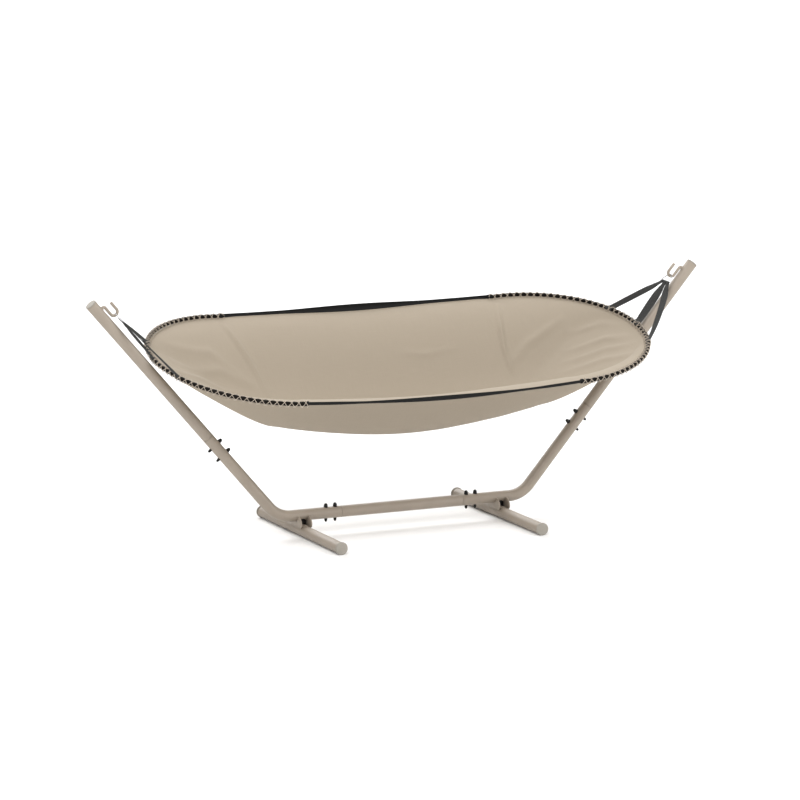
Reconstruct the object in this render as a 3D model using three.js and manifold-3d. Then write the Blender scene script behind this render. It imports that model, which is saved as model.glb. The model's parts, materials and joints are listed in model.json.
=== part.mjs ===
// A hammock bed hung between the arms of a bolted steel-tube stand.
// Millimetres, +Z up, +X along the hammock. The origin is on the floor, under the middle of the stand.
import * as THREE from "three";
import { mergeVertices } from "three/addons/utils/BufferGeometryUtils.js";
import Module from "manifold-3d";

// General fits.
const seatGap = 0.3; // between pieces that touch
const boltHoleClearance = 0.4;
const overrun = 5; // how far a cutter runs past what it cuts
const weldTolerance = 1e-4; // corners closer than this are one

// Stand: one size of round steel tube throughout.
const tubeRadius = 28.5;
const tubeWall = 2;
const tubeSides = 16;
const tubeCutterSides = 32;
const armTopX = 1650; // where the axis of each arm ends
const armTopZ = 1240;
const elbowX = 674; // where the axes of arm and spine would cross
const bendRadius = 150;
const bendSteps = 6;
const armSeamFromElbow = 569;
const spineSeamX = 335;
const armPlugLength = 165; // swaged end that slides into the elbow
const spinePlugLength = 115;
const plugClearance = 0.6;
const endCapThickness = 5;
const endCapRound = 3;
const endCapPlugLength = 20;

// Joint bolts, two at each seam.
const boltRadius = 4;
const armBoltsFromSeam = [58, 124];
const spineBoltsFromSeam = [28, 78];
const boltHeadRadius = 7;
const boltHeadHeight = 5;
const boltEndBeyondTube = 11;
const coverRadius = 10;
const coverHeight = 20;
const coverWall = 2;
const coverShoulderShares = [
  [1, 0.35],
  [0.86, 0.66],
  [0.55, 0.9],
];
const nutRadius = 7.5;
const nutHeight = 18;
const nutShoulderShare = 0.8; // of its radius and of its height
const nutBoreDepth = 13;
const nutClearance = 0.5;
const fastenerSides = 8;

// Feet.
const footX = 547;
const footLength = 1000;
const footCapRadius = 32;
const footCapThickness = 9.7;
const footCapRound = 4;
const footCapPlugLength = 25;
const footFlatDepth = 0.5; // ground off the caps where they stand
const saddleSleeve = 3;
const saddleHalfLength = 66;
const saddlePlate = 5;
const saddlePlateHalfLength = 72;
const saddlePlateBottom = 46;
const saddleBulgeShares = [
  [0.99, 0.52],
  [0.83, 0.84],
];
const saddleHornTip = 9;
const saddleHornRise = 1.5; // above the axis of the spine
const saddleArcSteps = 8;
const footSpacerRadius = 12;
const footSpacerHeight = 13.6;
const footBoltHeadRadius = 9;
const footBoltHeadHeight = 2.2;
const footBoltEndAboveWall = 9;

// Hooks: bent rod welded to the inside of each arm.
const hookRodRadius = 6;
const hookSides = 8;
const hookWeldFromTop = 58;
const hookLegOffset = 42.5; // inner leg, from the axis of the arm
const hookElbowRadius = 9;
const hookElbowSteps = 3;
const hookBendRadius = 19;
const hookBendSteps = 8;
const hookBendFromTop = 113;
const hookTipFromTop = 71;

// Hammock bed. It hangs rolled towards the front, as a bed does whose front straps are the longer.
const bedRoll = THREE.MathUtils.degToRad(13.8);
const bedDrop = 255; // from the bends of the hooks to the middle of the rim
const bedToArm = 10; // clearance at the tips
const bowTubeRadius = 10;
const bowTubeWall = 1.5;
const bowStartX = 766; // where the straight sides turn into the end bows
const bowHalfWidth = 550;
const bowTipRise = 20;
const bowSides = 8;
const bowSteps = 23; // odd, so that a straight piece lies at the tip

// Side bands: webbing from bow to bow, with a sewn sock over each end of the bow tubes.
const sockLength = 30;
const sockWall = 2;
const sockEnd = 3;
const bandThickness = 2.5;
const bandHeightEnd = 20;
const bandHeightWaist = 16;
const bandHeightMiddle = 36;
const bandWaistShare = 0.62;
const bandSag = 17;
const bandBulge = 23;
const bandLean = THREE.MathUtils.degToRad(32);
const bandSteps = 16;

// Lacing: one cord wound round each bow.
const cordRadius = 2;
const lacingLoops = 24; // keeps the loops beside the straps, not through them
const lacingStepsPerLoop = 8;
const lacingSides = 4;
const lacingSlack = 1.4;
const lacingEndShare = 0.004; // of the bow, left bare at each end of the lacing

// Cloth: a boat-shaped trough that hangs straight down from the rolled rim.
const clothThickness = 4;
const clothDepth = 396;
const clothEdgeDrop = 12.8;
const clothEdgeInset = 12.8;
const clothLengthPower = 2.3;
const clothEndPower = 0.92;
const clothCornerShare = 0.1; // of the side bands, over which the edge turns from band to bow
const clothCrossPower = 1.6;
const clothRings = 6;
const clothSideSegments = 12;
const foldDepth = 6;
const foldsPerEnd = 6;
const foldReachShare = 0.72;

// Straps and rings.
const ringWireRadius = 2.75;
const ringHeight = 40; // from the rod of the hook to the bar
const ringApexInner = 9;
const ringCornerRadius = 7;
const ringSteps = 24;
const ringSides = 6;
const strapsPerRing = 3;
const strapThickness = 2;
const strapWidthAtRing = 19;
const strapWidthAtBow = 26;
const strapSpacingSteps = 3; // straight pieces of the bow between two straps
const strapGap = 0.6;
const strapSteps = 6;
const sleeveSides = 12;
const sleeveGap = 0.5; // between webbing and the bar inside it

const X_AXIS = new THREE.Vector3(1, 0, 0);
const Y_AXIS = new THREE.Vector3(0, 1, 0);
const Z_AXIS = new THREE.Vector3(0, 0, 1);
const fullTurn = 2 * Math.PI;
const quarterTurn = Math.PI / 2;

const wasm = await Module();
wasm.setup();

// Materials.
const finish = (color, roughness, metalness) => () =>
  new THREE.MeshStandardMaterial({ color, roughness, metalness });
const powderCoat = finish(0xa8998a, 0.55, 0.35);
const capPlastic = finish(0x9f9285, 0.6, 0);
const blackPlastic = finish(0x171514, 0.4, 0);
const zincSteel = finish(0x9b9da0, 0.4, 0.9);
const brightSteel = finish(0xc8c9cc, 0.25, 1);
const blackTube = finish(0x1b1a19, 0.5, 0.3);
const cloth = finish(0xb7a994, 0.95, 0);
const cord = finish(0xb39f88, 0.9, 0);
const blackWebbing = finish(0x2a2928, 0.9, 0);
const greyWebbing = finish(0x4b4c4a, 0.9, 0);

function named(name, geometry, material) {
  const mesh = new THREE.Mesh(geometry, material());
  mesh.name = name;
  return mesh;
}

// Solids and booleans.
function toSolid(geometry) {
  const bare = new THREE.BufferGeometry();
  const flat = geometry.index ? geometry.toNonIndexed() : geometry;
  bare.setAttribute("position", flat.getAttribute("position"));
  const merged = mergeVertices(bare, weldTolerance);
  const solid = new wasm.Manifold(
    new wasm.Mesh({
      numProp: 3,
      vertProperties: merged.attributes.position.array,
      triVerts: new Uint32Array(merged.index.array),
    }),
  );
  if (solid.volume() > 0) return solid;
  const flipped = merged.index.array;
  for (let i = 0; i < flipped.length; i += 3) {
    [flipped[i + 1], flipped[i + 2]] = [flipped[i + 2], flipped[i + 1]];
  }
  return new wasm.Manifold(
    new wasm.Mesh({
      numProp: 3,
      vertProperties: merged.attributes.position.array,
      triVerts: new Uint32Array(flipped),
    }),
  );
}

function fromSolid(solid) {
  const mesh = solid.getMesh();
  const geometry = new THREE.BufferGeometry();
  geometry.setAttribute(
    "position",
    new THREE.Float32BufferAttribute(mesh.vertProperties, mesh.numProp),
  );
  geometry.setIndex([...mesh.triVerts]);
  return geometry;
}

const outward = (geometry) => fromSolid(toSolid(geometry));
const joined = (...parts) => parts.map(toSolid).reduce((sum, part) => sum.add(part));
const cut = (geometry, ...cutters) =>
  fromSolid(cutters.map(toSolid).reduce((rest, cutter) => rest.subtract(cutter), toSolid(geometry)));

// A round bar along a direction, centred on a point.
function bar(radius, length, centre, direction, sides = fastenerSides) {
  const turn = new THREE.Quaternion().setFromUnitVectors(Y_AXIS, direction);
  return new THREE.CylinderGeometry(radius, radius, length, sides)
    .applyQuaternion(turn)
    .translate(centre.x, centre.y, centre.z);
}

// A turned solid or pipe: its profile is a list of [radius, height].
function turned(profile, sides) {
  const points = profile.map(([radius, height]) => new THREE.Vector2(radius, height));
  return outward(new THREE.LatheGeometry(points, sides));
}

// A pipe whose profile closes on itself.
const pipeProfile = (outer, inner, low, high) => [
  [inner, low],
  [outer, low],
  [outer, high],
  [inner, high],
  [inner, low],
];

// Quads between rows of points, each row with the same number of corners.
function skin(rows, closedRows, closedAlong) {
  const corners = rows[0].length;
  const positions = rows.flat().flatMap((p) => [p.x, p.y, p.z]);
  const index = [];
  const rowSteps = closedAlong ? rows.length : rows.length - 1;
  const cornerSteps = closedRows ? corners : corners - 1;
  for (let i = 0; i < rowSteps; i += 1) {
    for (let j = 0; j < cornerSteps; j += 1) {
      const a = i * corners + j;
      const b = i * corners + ((j + 1) % corners);
      const c = ((i + 1) % rows.length) * corners + ((j + 1) % corners);
      const d = ((i + 1) % rows.length) * corners + j;
      index.push(a, b, c, a, c, d);
    }
  }
  return { positions, index };
}

function fanEnd(index, start, corners, reversed) {
  for (let j = 1; j < corners - 1; j += 1) {
    if (reversed) index.push(start, start + j + 1, start + j);
    else index.push(start, start + j, start + j + 1);
  }
}

// A solid lofted through rows of points: closed along, or with a flat face at each end.
function loft(rows, closedAlong = false) {
  const { positions, index } = skin(rows, true, closedAlong);
  if (!closedAlong) {
    fanEnd(index, 0, rows[0].length, true);
    fanEnd(index, (rows.length - 1) * rows[0].length, rows[0].length, false);
  }
  const geometry = new THREE.BufferGeometry();
  geometry.setAttribute("position", new THREE.Float32BufferAttribute(positions, 3));
  geometry.setIndex(index);
  return outward(geometry);
}

// Square frames carried along a line of points without twist.
function framesAlong(points, closed, firstNormal) {
  const last = points.length - 1;
  const frames = [];
  let normal = firstNormal.clone();
  points.forEach((point, i) => {
    const before = points[i > 0 ? i - 1 : closed ? last : 0];
    const after = points[i < last ? i + 1 : closed ? 0 : last];
    const tangent = after.clone().sub(before).normalize();
    normal = normal.addScaledVector(tangent, -normal.dot(tangent)).normalize();
    const side = tangent.clone().cross(normal);
    frames.push({ point, tangent, normal: normal.clone(), side });
  });
  return frames;
}

function ringsAlong(points, radius, sides, { closed = false, normal = Y_AXIS } = {}) {
  return framesAlong(points, closed, normal).map((frame) =>
    Array.from({ length: sides }, (_, j) => {
      const angle = (fullTurn * (j + 0.5)) / sides;
      return frame.point
        .clone()
        .addScaledVector(frame.normal, radius * Math.cos(angle))
        .addScaledVector(frame.side, radius * Math.sin(angle));
    }),
  );
}

const rod = (points, radius, sides, options = {}) =>
  loft(ringsAlong(points, radius, sides, options), options.closed);

// A pipe along a line of points: outer wall, inner wall and a flat ring at each end.
function pipe(points, outer, inner, sides, options) {
  const outerRings = ringsAlong(points, outer, sides, options);
  const innerRings = ringsAlong(points, inner, sides, options);
  return loft([...outerRings, ...innerRings.reverse()], true);
}

// Stand geometry, in the plane of the arms; the right half is modelled and the left is its turned copy.
const footAxisZ = footCapRadius - footFlatDepth;
const saddleTopZ = footAxisZ + tubeRadius + seatGap + saddleSleeve;
const spineZ = saddleTopZ + seatGap + footSpacerHeight + seatGap + tubeRadius;
const armAngle = Math.atan2(armTopZ - spineZ, armTopX - elbowX);
const armLength = Math.hypot(armTopZ - spineZ, armTopX - elbowX);
const armAlong = new THREE.Vector3(Math.cos(armAngle), 0, Math.sin(armAngle));
const armInward = new THREE.Vector3(-Math.sin(armAngle), 0, Math.cos(armAngle));
const elbowCorner = new THREE.Vector3(elbowX, 0, spineZ);
const armTop = new THREE.Vector3(armTopX, 0, armTopZ);
const tubeBore = tubeRadius - tubeWall;
const plugRadius = tubeBore - plugClearance;
const onArm = (fromElbow) => elbowCorner.clone().addScaledVector(armAlong, fromElbow);
const onSpine = (x) => new THREE.Vector3(x, 0, spineZ);
const holeRadius = boltRadius + boltHoleClearance;
const armBolts = armBoltsFromSeam.map((distance) => onArm(armSeamFromElbow - distance));
const spineBolts = spineBoltsFromSeam.map((distance) => onSpine(spineSeamX + distance));
const holeThrough = (centre, direction) => bar(holeRadius, 2 * (tubeRadius + overrun), centre, direction);
const armHoles = () => armBolts.map((centre) => holeThrough(centre, armInward));

function elbowTube() {
  const tangentLength = bendRadius * Math.tan(armAngle / 2);
  const bendCentre = onSpine(elbowX - tangentLength).addScaledVector(Z_AXIS, bendRadius);
  const points = [onSpine(spineSeamX + seatGap)];
  for (let i = 0; i <= bendSteps; i += 1) {
    const angle = (armAngle * i) / bendSteps;
    const reach = new THREE.Vector3(Math.sin(angle), 0, -Math.cos(angle));
    points.push(bendCentre.clone().addScaledVector(reach, bendRadius));
  }
  points.push(onArm(armSeamFromElbow - seatGap));
  const footHole = bar(holeRadius, tubeRadius, new THREE.Vector3(footX, 0, spineZ - tubeRadius), Z_AXIS);
  const spineHoles = spineBolts.map((centre) => holeThrough(centre, Z_AXIS));
  return cut(pipe(points, tubeRadius, tubeBore, tubeSides), footHole, ...armHoles(), ...spineHoles);
}

// Profiles of a straight tube's swaged end, which slides into an elbow below the shoulder.
const swagedOutside = (plugEnd, shoulder) => [
  [plugRadius, plugEnd],
  [plugRadius, shoulder],
  [tubeRadius, shoulder],
];
const swagedInside = (plugEnd, shoulder) => [
  [tubeBore, shoulder + tubeWall],
  [plugRadius - tubeWall, shoulder],
  [plugRadius - tubeWall, plugEnd],
];

const alongArm = (geometry) =>
  geometry
    .applyQuaternion(new THREE.Quaternion().setFromUnitVectors(Y_AXIS, armAlong))
    .translate(elbowCorner.x, elbowCorner.y, elbowCorner.z);

function armTube() {
  const top = armLength - endCapThickness - seatGap;
  const plugEnd = armSeamFromElbow - armPlugLength;
  const outside = swagedOutside(plugEnd, armSeamFromElbow);
  const inside = swagedInside(plugEnd, armSeamFromElbow);
  const profile = [...outside, [tubeRadius, top], [tubeBore, top], ...inside, outside[0]];
  return cut(alongArm(turned(profile, tubeSides)), ...armHoles());
}

function centreTube() {
  const outside = swagedOutside(-spineSeamX - spinePlugLength, -spineSeamX);
  const inside = swagedInside(-spineSeamX - spinePlugLength, -spineSeamX);
  const otherEnd = (profile) => profile.map(([radius, height]) => [radius, -height]).reverse();
  const profile = [...outside, ...otherEnd(outside), ...otherEnd(inside), ...inside, outside[0]];
  const holes = spineBolts.flatMap(({ x }) =>
    [-x, x].map((place) => holeThrough(new THREE.Vector3(place, 0, 0), Z_AXIS)),
  );
  return cut(turned(profile, tubeSides).rotateZ(quarterTurn), ...holes);
}

// A plug with a flange, turned about +Y: its flange's inner face is at height 0.
function plugCap(flangeRadius, flangeThickness, round, plugLength) {
  const plug = tubeBore - plugClearance;
  const corner = round * (1 - Math.SQRT1_2);
  return turned(
    [
      [0, -plugLength],
      [plug, -plugLength],
      [plug, 0],
      [flangeRadius, 0],
      [flangeRadius, flangeThickness - round],
      [flangeRadius - corner, flangeThickness - corner],
      [flangeRadius - round, flangeThickness],
      [0, flangeThickness],
    ],
    tubeSides,
  );
}

function footCap() {
  const cap = plugCap(footCapRadius, footCapThickness, footCapRound, footCapPlugLength);
  const side = 4 * footCapRadius;
  const ground = new THREE.BoxGeometry(side, side, side).translate(0, 0, -footAxisZ - side / 2);
  return cut(cap, ground);
}

// Joint fasteners. Their frame has the bolt along +Y and the tube along X.
const tubeCutter = () =>
  bar(tubeRadius + seatGap, 4 * coverRadius, new THREE.Vector3(), X_AXIS, tubeCutterSides);

function jointBolt() {
  return turned(
    [
      [0, -tubeRadius - boltEndBeyondTube],
      [boltRadius, -tubeRadius - boltEndBeyondTube],
      [boltRadius, tubeRadius + seatGap],
      [boltHeadRadius, tubeRadius + seatGap],
      [boltHeadRadius, tubeRadius + seatGap + boltHeadHeight],
      [0, tubeRadius + seatGap + boltHeadHeight],
    ],
    fastenerSides,
  );
}

function boltCover() {
  const hollow = coverRadius - coverWall;
  const headRoom = tubeRadius + seatGap + boltHeadHeight + seatGap;
  const outline = coverShoulderShares.map(([radiusShare, heightShare]) => [
    coverRadius * radiusShare,
    tubeRadius + coverHeight * heightShare,
  ]);
  const cover = turned(
    [
      [hollow, tubeRadius - coverWall],
      [coverRadius, tubeRadius - coverWall],
      ...outline,
      [0, tubeRadius + coverHeight],
      [0, headRoom],
      [hollow, headRoom],
      [hollow, tubeRadius - coverWall],
    ],
    fastenerSides,
  );
  return cut(cover, tubeCutter());
}

function capNut() {
  const bore = boltRadius + nutClearance;
  const nut = turned(
    [
      [bore, -tubeRadius + coverWall],
      [nutRadius, -tubeRadius + coverWall],
      [nutRadius, -tubeRadius - nutHeight / 2],
      [nutRadius * nutShoulderShare, -tubeRadius - nutHeight * nutShoulderShare],
      [0, -tubeRadius - nutHeight],
      [0, -tubeRadius - nutBoreDepth],
      [bore, -tubeRadius - nutBoreDepth],
      [bore, -tubeRadius + coverWall],
    ],
    fastenerSides,
  );
  return cut(nut, tubeCutter());
}

function fastenerSet(place, centre, tubeAngle) {
  const set = new THREE.Group();
  set.add(
    named(`${place}_bolt`, jointBolt(), zincSteel),
    named(`${place}_bolt_cover`, boltCover(), blackPlastic),
    named(`${place}_cap_nut`, capNut(), blackPlastic),
  );
  set.rotation.x = quarterTurn;
  const turnedSet = new THREE.Group().add(set);
  turnedSet.rotation.y = -tubeAngle;
  turnedSet.position.copy(centre);
  return turnedSet;
}

// Foot saddle: two upright plates joined by a sleeve over the foot tube. Its frame stands on the floor.
function plateGeometry(x) {
  const hornZ = spineZ + saddleHornRise;
  const notch = tubeRadius + seatGap;
  const hornHalfWidth = notch + saddleHornTip;
  const rise = hornZ - saddlePlateBottom;
  const outline = new THREE.Shape();
  outline.moveTo(-saddlePlateHalfLength, saddlePlateBottom);
  outline.lineTo(saddlePlateHalfLength, saddlePlateBottom);
  saddleBulgeShares.forEach(([lengthShare, riseShare]) => {
    outline.lineTo(saddlePlateHalfLength * lengthShare, saddlePlateBottom + rise * riseShare);
  });
  outline.lineTo(hornHalfWidth, hornZ);
  outline.lineTo(notch, hornZ);
  outline.absarc(0, spineZ, notch, 0, -Math.PI, true);
  outline.lineTo(-notch, hornZ);
  outline.lineTo(-hornHalfWidth, hornZ);
  [...saddleBulgeShares].reverse().forEach(([lengthShare, riseShare]) => {
    outline.lineTo(-saddlePlateHalfLength * lengthShare, saddlePlateBottom + rise * riseShare);
  });
  const across = new THREE.Matrix4().makeBasis(Y_AXIS, Z_AXIS, X_AXIS);
  const pressed = { depth: saddlePlate, bevelEnabled: false, curveSegments: saddleArcSteps };
  return new THREE.ExtrudeGeometry(outline, pressed)
    .applyMatrix4(across)
    .translate(x, 0, 0);
}

function footSaddle() {
  const inner = tubeRadius + seatGap;
  const outer = inner + saddleSleeve;
  const low = Math.asin((saddlePlateBottom - footAxisZ) / outer);
  const arch = new THREE.Shape();
  arch.absarc(0, 0, outer, low, Math.PI - low, false);
  arch.absarc(0, 0, inner, Math.PI - low, low, true);
  const along = new THREE.Matrix4().makeBasis(X_AXIS, Z_AXIS, Y_AXIS.clone().negate());
  const sleeve = new THREE.ExtrudeGeometry(arch, {
    depth: 2 * saddleHalfLength,
    bevelEnabled: false,
    curveSegments: saddleArcSteps,
  })
    .applyMatrix4(along)
    .translate(0, saddleHalfLength, footAxisZ);
  const plateFace = Math.sqrt(inner ** 2 - (saddlePlateBottom - footAxisZ) ** 2);
  const body = joined(plateGeometry(plateFace), plateGeometry(-plateFace - saddlePlate), sleeve);
  const hole = bar(holeRadius, spineZ, new THREE.Vector3(0, 0, spineZ / 2), Z_AXIS);
  return cut(fromSolid(body), hole);
}

function footTube() {
  const half = footLength / 2 - footCapThickness - seatGap;
  const tube = turned(pipeProfile(tubeRadius, tubeBore, -half, half), tubeSides);
  return cut(tube, bar(holeRadius, 2 * (tubeRadius + overrun), new THREE.Vector3(), Z_AXIS));
}

function footSpacer() {
  const low = saddleTopZ + seatGap - saddleSleeve;
  const high = spineZ - tubeRadius + saddleSleeve;
  const middle = new THREE.Vector3(0, 0, (low + high) / 2);
  const block = bar(footSpacerRadius, high - low, middle, Z_AXIS);
  const sleeveTop = bar(
    tubeRadius + saddleSleeve + 2 * seatGap,
    4 * footSpacerRadius,
    new THREE.Vector3(0, 0, footAxisZ),
    Y_AXIS,
    tubeCutterSides,
  );
  const spine = bar(tubeRadius + seatGap, 4 * footSpacerRadius, onSpine(0), X_AXIS, tubeCutterSides);
  return cut(block, sleeveTop, spine, bar(holeRadius, spineZ, middle, Z_AXIS));
}

function footBolt() {
  const headTop = footAxisZ - tubeRadius - seatGap;
  const end = spineZ - tubeBore + footBoltEndAboveWall;
  return turned(
    [
      [0, headTop - footBoltHeadHeight],
      [footBoltHeadRadius - footBoltHeadHeight, headTop - footBoltHeadHeight],
      [footBoltHeadRadius, headTop],
      [boltRadius, headTop],
      [boltRadius, end],
      [0, end],
    ],
    fastenerSides,
  ).rotateX(quarterTurn);
}

// Hook: out from the arm, down beside it, round the bend that carries the ring, and up to its open tip.
const hookOuterOffset = hookLegOffset + 2 * hookBendRadius;
const hookMiddleOffset = hookLegOffset + hookBendRadius;
const beforeTop = (fromTop, offset) =>
  armTop.clone().addScaledVector(armAlong, -fromTop).addScaledVector(armInward, offset);
const hookSeat = beforeTop(hookBendFromTop + hookBendRadius, hookMiddleOffset);

function hook() {
  const points = [beforeTop(hookWeldFromTop, tubeRadius + seatGap)];
  for (let i = 0; i <= hookElbowSteps; i += 1) {
    const angle = (quarterTurn * i) / hookElbowSteps;
    points.push(
      beforeTop(
        hookWeldFromTop + hookElbowRadius * (1 - Math.cos(angle)),
        hookLegOffset - hookElbowRadius * (1 - Math.sin(angle)),
      ),
    );
  }
  for (let i = 0; i <= hookBendSteps; i += 1) {
    const angle = (Math.PI * i) / hookBendSteps;
    points.push(
      beforeTop(
        hookBendFromTop + hookBendRadius * Math.sin(angle),
        hookMiddleOffset - hookBendRadius * Math.cos(angle),
      ),
    );
  }
  points.push(beforeTop(hookTipFromTop, hookOuterOffset));
  return rod(points, hookRodRadius, hookSides);
}

function standHalf(side) {
  const half = new THREE.Group();
  const left = side === "left";
  half.add(
    named(`${side}_elbow_tube`, elbowTube(), powderCoat),
    named(`${side}_arm_tube`, armTube(), powderCoat),
    named(`${side}_hook`, hook(), powderCoat),
  );
  const endCap = named(
    `${side}_arm_end_cap`,
    plugCap(tubeRadius, endCapThickness, endCapRound, endCapPlugLength),
    capPlastic,
  );
  endCap.position.copy(onArm(armLength - endCapThickness));
  endCap.quaternion.setFromUnitVectors(Y_AXIS, armAlong);
  half.add(endCap);
  armBolts.forEach((centre, i) => {
    half.add(fastenerSet(`${side}_arm_${["upper", "lower"][i]}`, centre, armAngle));
  });
  spineBolts.forEach((centre, i) => {
    half.add(fastenerSet(`${side}_spine_${["inner", "outer"][i]}`, centre, 0));
  });
  const foot = new THREE.Group();
  foot.position.x = footX;
  const tube = named(`${side}_foot_tube`, footTube(), powderCoat);
  tube.position.z = footAxisZ;
  foot.add(
    tube,
    named(`${side}_foot_saddle`, footSaddle(), powderCoat),
    named(`${side}_foot_spacer`, footSpacer(), blackPlastic),
    named(`${side}_foot_bolt`, footBolt(), zincSteel),
  );
  [-1, 1].forEach((sign) => {
    const front = left ? sign > 0 : sign < 0;
    const cap = named(`${side}_${front ? "front" : "back"}_foot_cap`, footCap(), capPlastic);
    cap.position.set(0, sign * (footLength / 2 - footCapThickness), footAxisZ);
    if (sign < 0) cap.rotation.z = Math.PI;
    foot.add(cap);
  });
  half.add(foot);
  if (left) half.rotation.z = Math.PI;
  return half;
}

// Bed geometry, in the frame of its rim: x along, y across, z square to the rim.
const bedZ = hookSeat.z - bedDrop;
const bowTipZ = bedZ + bowTipRise * Math.cos(bedRoll);
const armInsideX = elbowX + (bowTipZ - spineZ) / Math.tan(armAngle) - tubeRadius / Math.sin(armAngle);
const lacingRadius = bowTubeRadius + sleeveGap + strapThickness + lacingSlack + cordRadius;
const bowTipX = armInsideX - bedToArm - lacingRadius - cordRadius;
const bowReach = bowTipX - bowStartX;
const smooth = (t) => t * t * (3 - 2 * t);
const clampUnit = (t) => Math.min(1, Math.max(0, t));

function bowPoint(sign, angle) {
  const cosine = Math.cos(angle);
  return new THREE.Vector3(
    sign * (bowStartX + bowReach * cosine),
    bowHalfWidth * Math.sin(angle),
    bowTipRise * cosine * cosine,
  );
}

const bowCorner = (sign, i) => bowPoint(sign, -quarterTurn + (Math.PI * i) / bowSteps);

// A point and direction on the straight pieces that the bow is made of: share runs from 0 to 1.
function onBow(sign, share) {
  const piece = Math.min(bowSteps - 1, Math.floor(share * bowSteps));
  const start = bowCorner(sign, piece);
  const end = bowCorner(sign, piece + 1);
  const direction = end.clone().sub(start).normalize();
  return { point: start.lerp(end, share * bowSteps - piece), direction };
}

function bowLine(sign) {
  const points = [new THREE.Vector3(sign * (bowStartX - sockLength), -bowHalfWidth, 0)];
  for (let i = 0; i <= bowSteps; i += 1) points.push(bowCorner(sign, i));
  points.push(new THREE.Vector3(sign * (bowStartX - sockLength), bowHalfWidth, 0));
  return points;
}

const endBow = (sign) =>
  pipe(bowLine(sign), bowTubeRadius, bowTubeRadius - bowTubeWall, bowSides, { normal: Z_AXIS });

// Side bands.
const bandEndX = bowStartX - sockLength;
const sockInner = bowTubeRadius + sleeveGap;

function bandHeight(share) {
  if (share < bandWaistShare) {
    const bell = 1 - (share / bandWaistShare) ** 2;
    return bandHeightWaist + (bandHeightMiddle - bandHeightWaist) * bell * bell;
  }
  const rise = (share - bandWaistShare) / (1 - bandWaistShare);
  return bandHeightWaist + (bandHeightEnd - bandHeightWaist) * rise * rise;
}

function bandCentre(x, sign) {
  const hang = 1 - clampUnit(Math.abs(x) / bandEndX) ** 2;
  return new THREE.Vector3(x, sign * (bowHalfWidth + bandBulge * hang), -bandSag * hang);
}

function sideBand(sign) {
  const up = new THREE.Vector3(0, sign * Math.sin(bandLean), Math.cos(bandLean));
  const across = new THREE.Vector3(0, Math.cos(bandLean), -sign * Math.sin(bandLean));
  const rows = [];
  const flatEndX = bandEndX - seatGap - sockEnd / 2;
  for (let i = 0; i <= bandSteps; i += 1) {
    const x = THREE.MathUtils.lerp(-flatEndX, flatEndX, i / bandSteps);
    const half = bandHeight(Math.abs(x) / bandEndX) / 2;
    const centre = bandCentre(x, sign);
    rows.push(
      [
        [half, 1],
        [half, -1],
        [-half, -1],
        [-half, 1],
      ].map(([height, face]) =>
        centre
          .clone()
          .addScaledVector(up, height)
          .addScaledVector(across, (face * bandThickness) / 2),
      ),
    );
  }
  const socks = [-1, 1].map((end) => {
    const closedEnd = seatGap + sockEnd;
    const sock = turned(
      [
        [0, -closedEnd],
        [sockInner + sockWall, -closedEnd],
        [sockInner + sockWall, sockLength],
        [sockInner, sockLength],
        [sockInner, -seatGap],
        [0, -seatGap],
      ],
      sleeveSides,
    );
    return sock.rotateZ(-end * quarterTurn).translate(end * bandEndX, sign * bowHalfWidth, 0);
  });
  return fromSolid(joined(loft(rows), ...socks));
}

// Lacing: a helix round the bow tube, over the straps' sleeves; it passes each strap on the far side.
function lacingPath(sign) {
  const steps = Math.round(lacingLoops * lacingStepsPerLoop);
  const shares = Array.from({ length: steps + 1 }, (_, i) =>
    THREE.MathUtils.lerp(lacingEndShare, 1 - lacingEndShare, i / steps),
  );
  const line = shares.map((share) => onBow(sign, share).point);
  return framesAlong(line, false, Z_AXIS).map(({ point, normal, side }, i) => {
    const angle = fullTurn * lacingLoops * (shares[i] - 1 / 2) + Math.PI;
    return point
      .clone()
      .addScaledVector(normal, lacingRadius * Math.cos(angle))
      .addScaledVector(side, lacingRadius * Math.sin(angle));
  });
}

function leastSelfGap(points) {
  let least = Infinity;
  points.forEach((a, i) => {
    for (let j = i + lacingStepsPerLoop - 1; j < points.length; j += 1) {
      least = Math.min(least, a.distanceTo(points[j]) - 2 * cordRadius);
    }
  });
  return least;
}

// Cloth. Its edge hangs just inside the lacing at the ends and just under the bands at the sides.
const clothTipX = bowTipX - clothEdgeInset;
const clothEndHalfWidth = bowHalfWidth - clothEdgeInset;

function sideEdge(x) {
  const share = Math.abs(x) / bandEndX;
  const half = bandHeight(clampUnit(share)) / 2 + seatGap;
  const centre = bandCentre(x, 1);
  const blend = smooth(clampUnit(1 - (1 - share) / clothCornerShare));
  const y = THREE.MathUtils.lerp(centre.y - half * Math.sin(bandLean), clothEndHalfWidth, blend);
  const z = THREE.MathUtils.lerp(centre.z - half * Math.cos(bandLean), -clothEdgeDrop, blend);
  return { y, z };
}

function endEdge(angle) {
  const cosine = Math.cos(angle);
  return new THREE.Vector3(
    bowStartX + (clothTipX - bowStartX) * cosine,
    clothEndHalfWidth * Math.sin(angle),
    bowTipRise * cosine * cosine - clothEdgeDrop,
  );
}

function edgeAt(x) {
  if (Math.abs(x) < bowStartX) return sideEdge(x);
  const cosine = clampUnit((Math.abs(x) - bowStartX) / (clothTipX - bowStartX));
  return endEdge(Math.acos(cosine));
}

function clothRim() {
  const rim = [];
  for (let i = 0; i < bowSteps; i += 1) {
    rim.push(endEdge(-quarterTurn + (Math.PI * i) / bowSteps));
  }
  for (let i = 0; i < clothSideSegments; i += 1) {
    const x = THREE.MathUtils.lerp(bowStartX, -bowStartX, i / clothSideSegments);
    const { y, z } = sideEdge(x);
    rim.push(new THREE.Vector3(x, y, z));
  }
  return [...rim, ...rim.map((p) => new THREE.Vector3(-p.x, -p.y, p.z))];
}

const downInBed = new THREE.Vector3(0, -Math.sin(bedRoll), -Math.cos(bedRoll));

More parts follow.
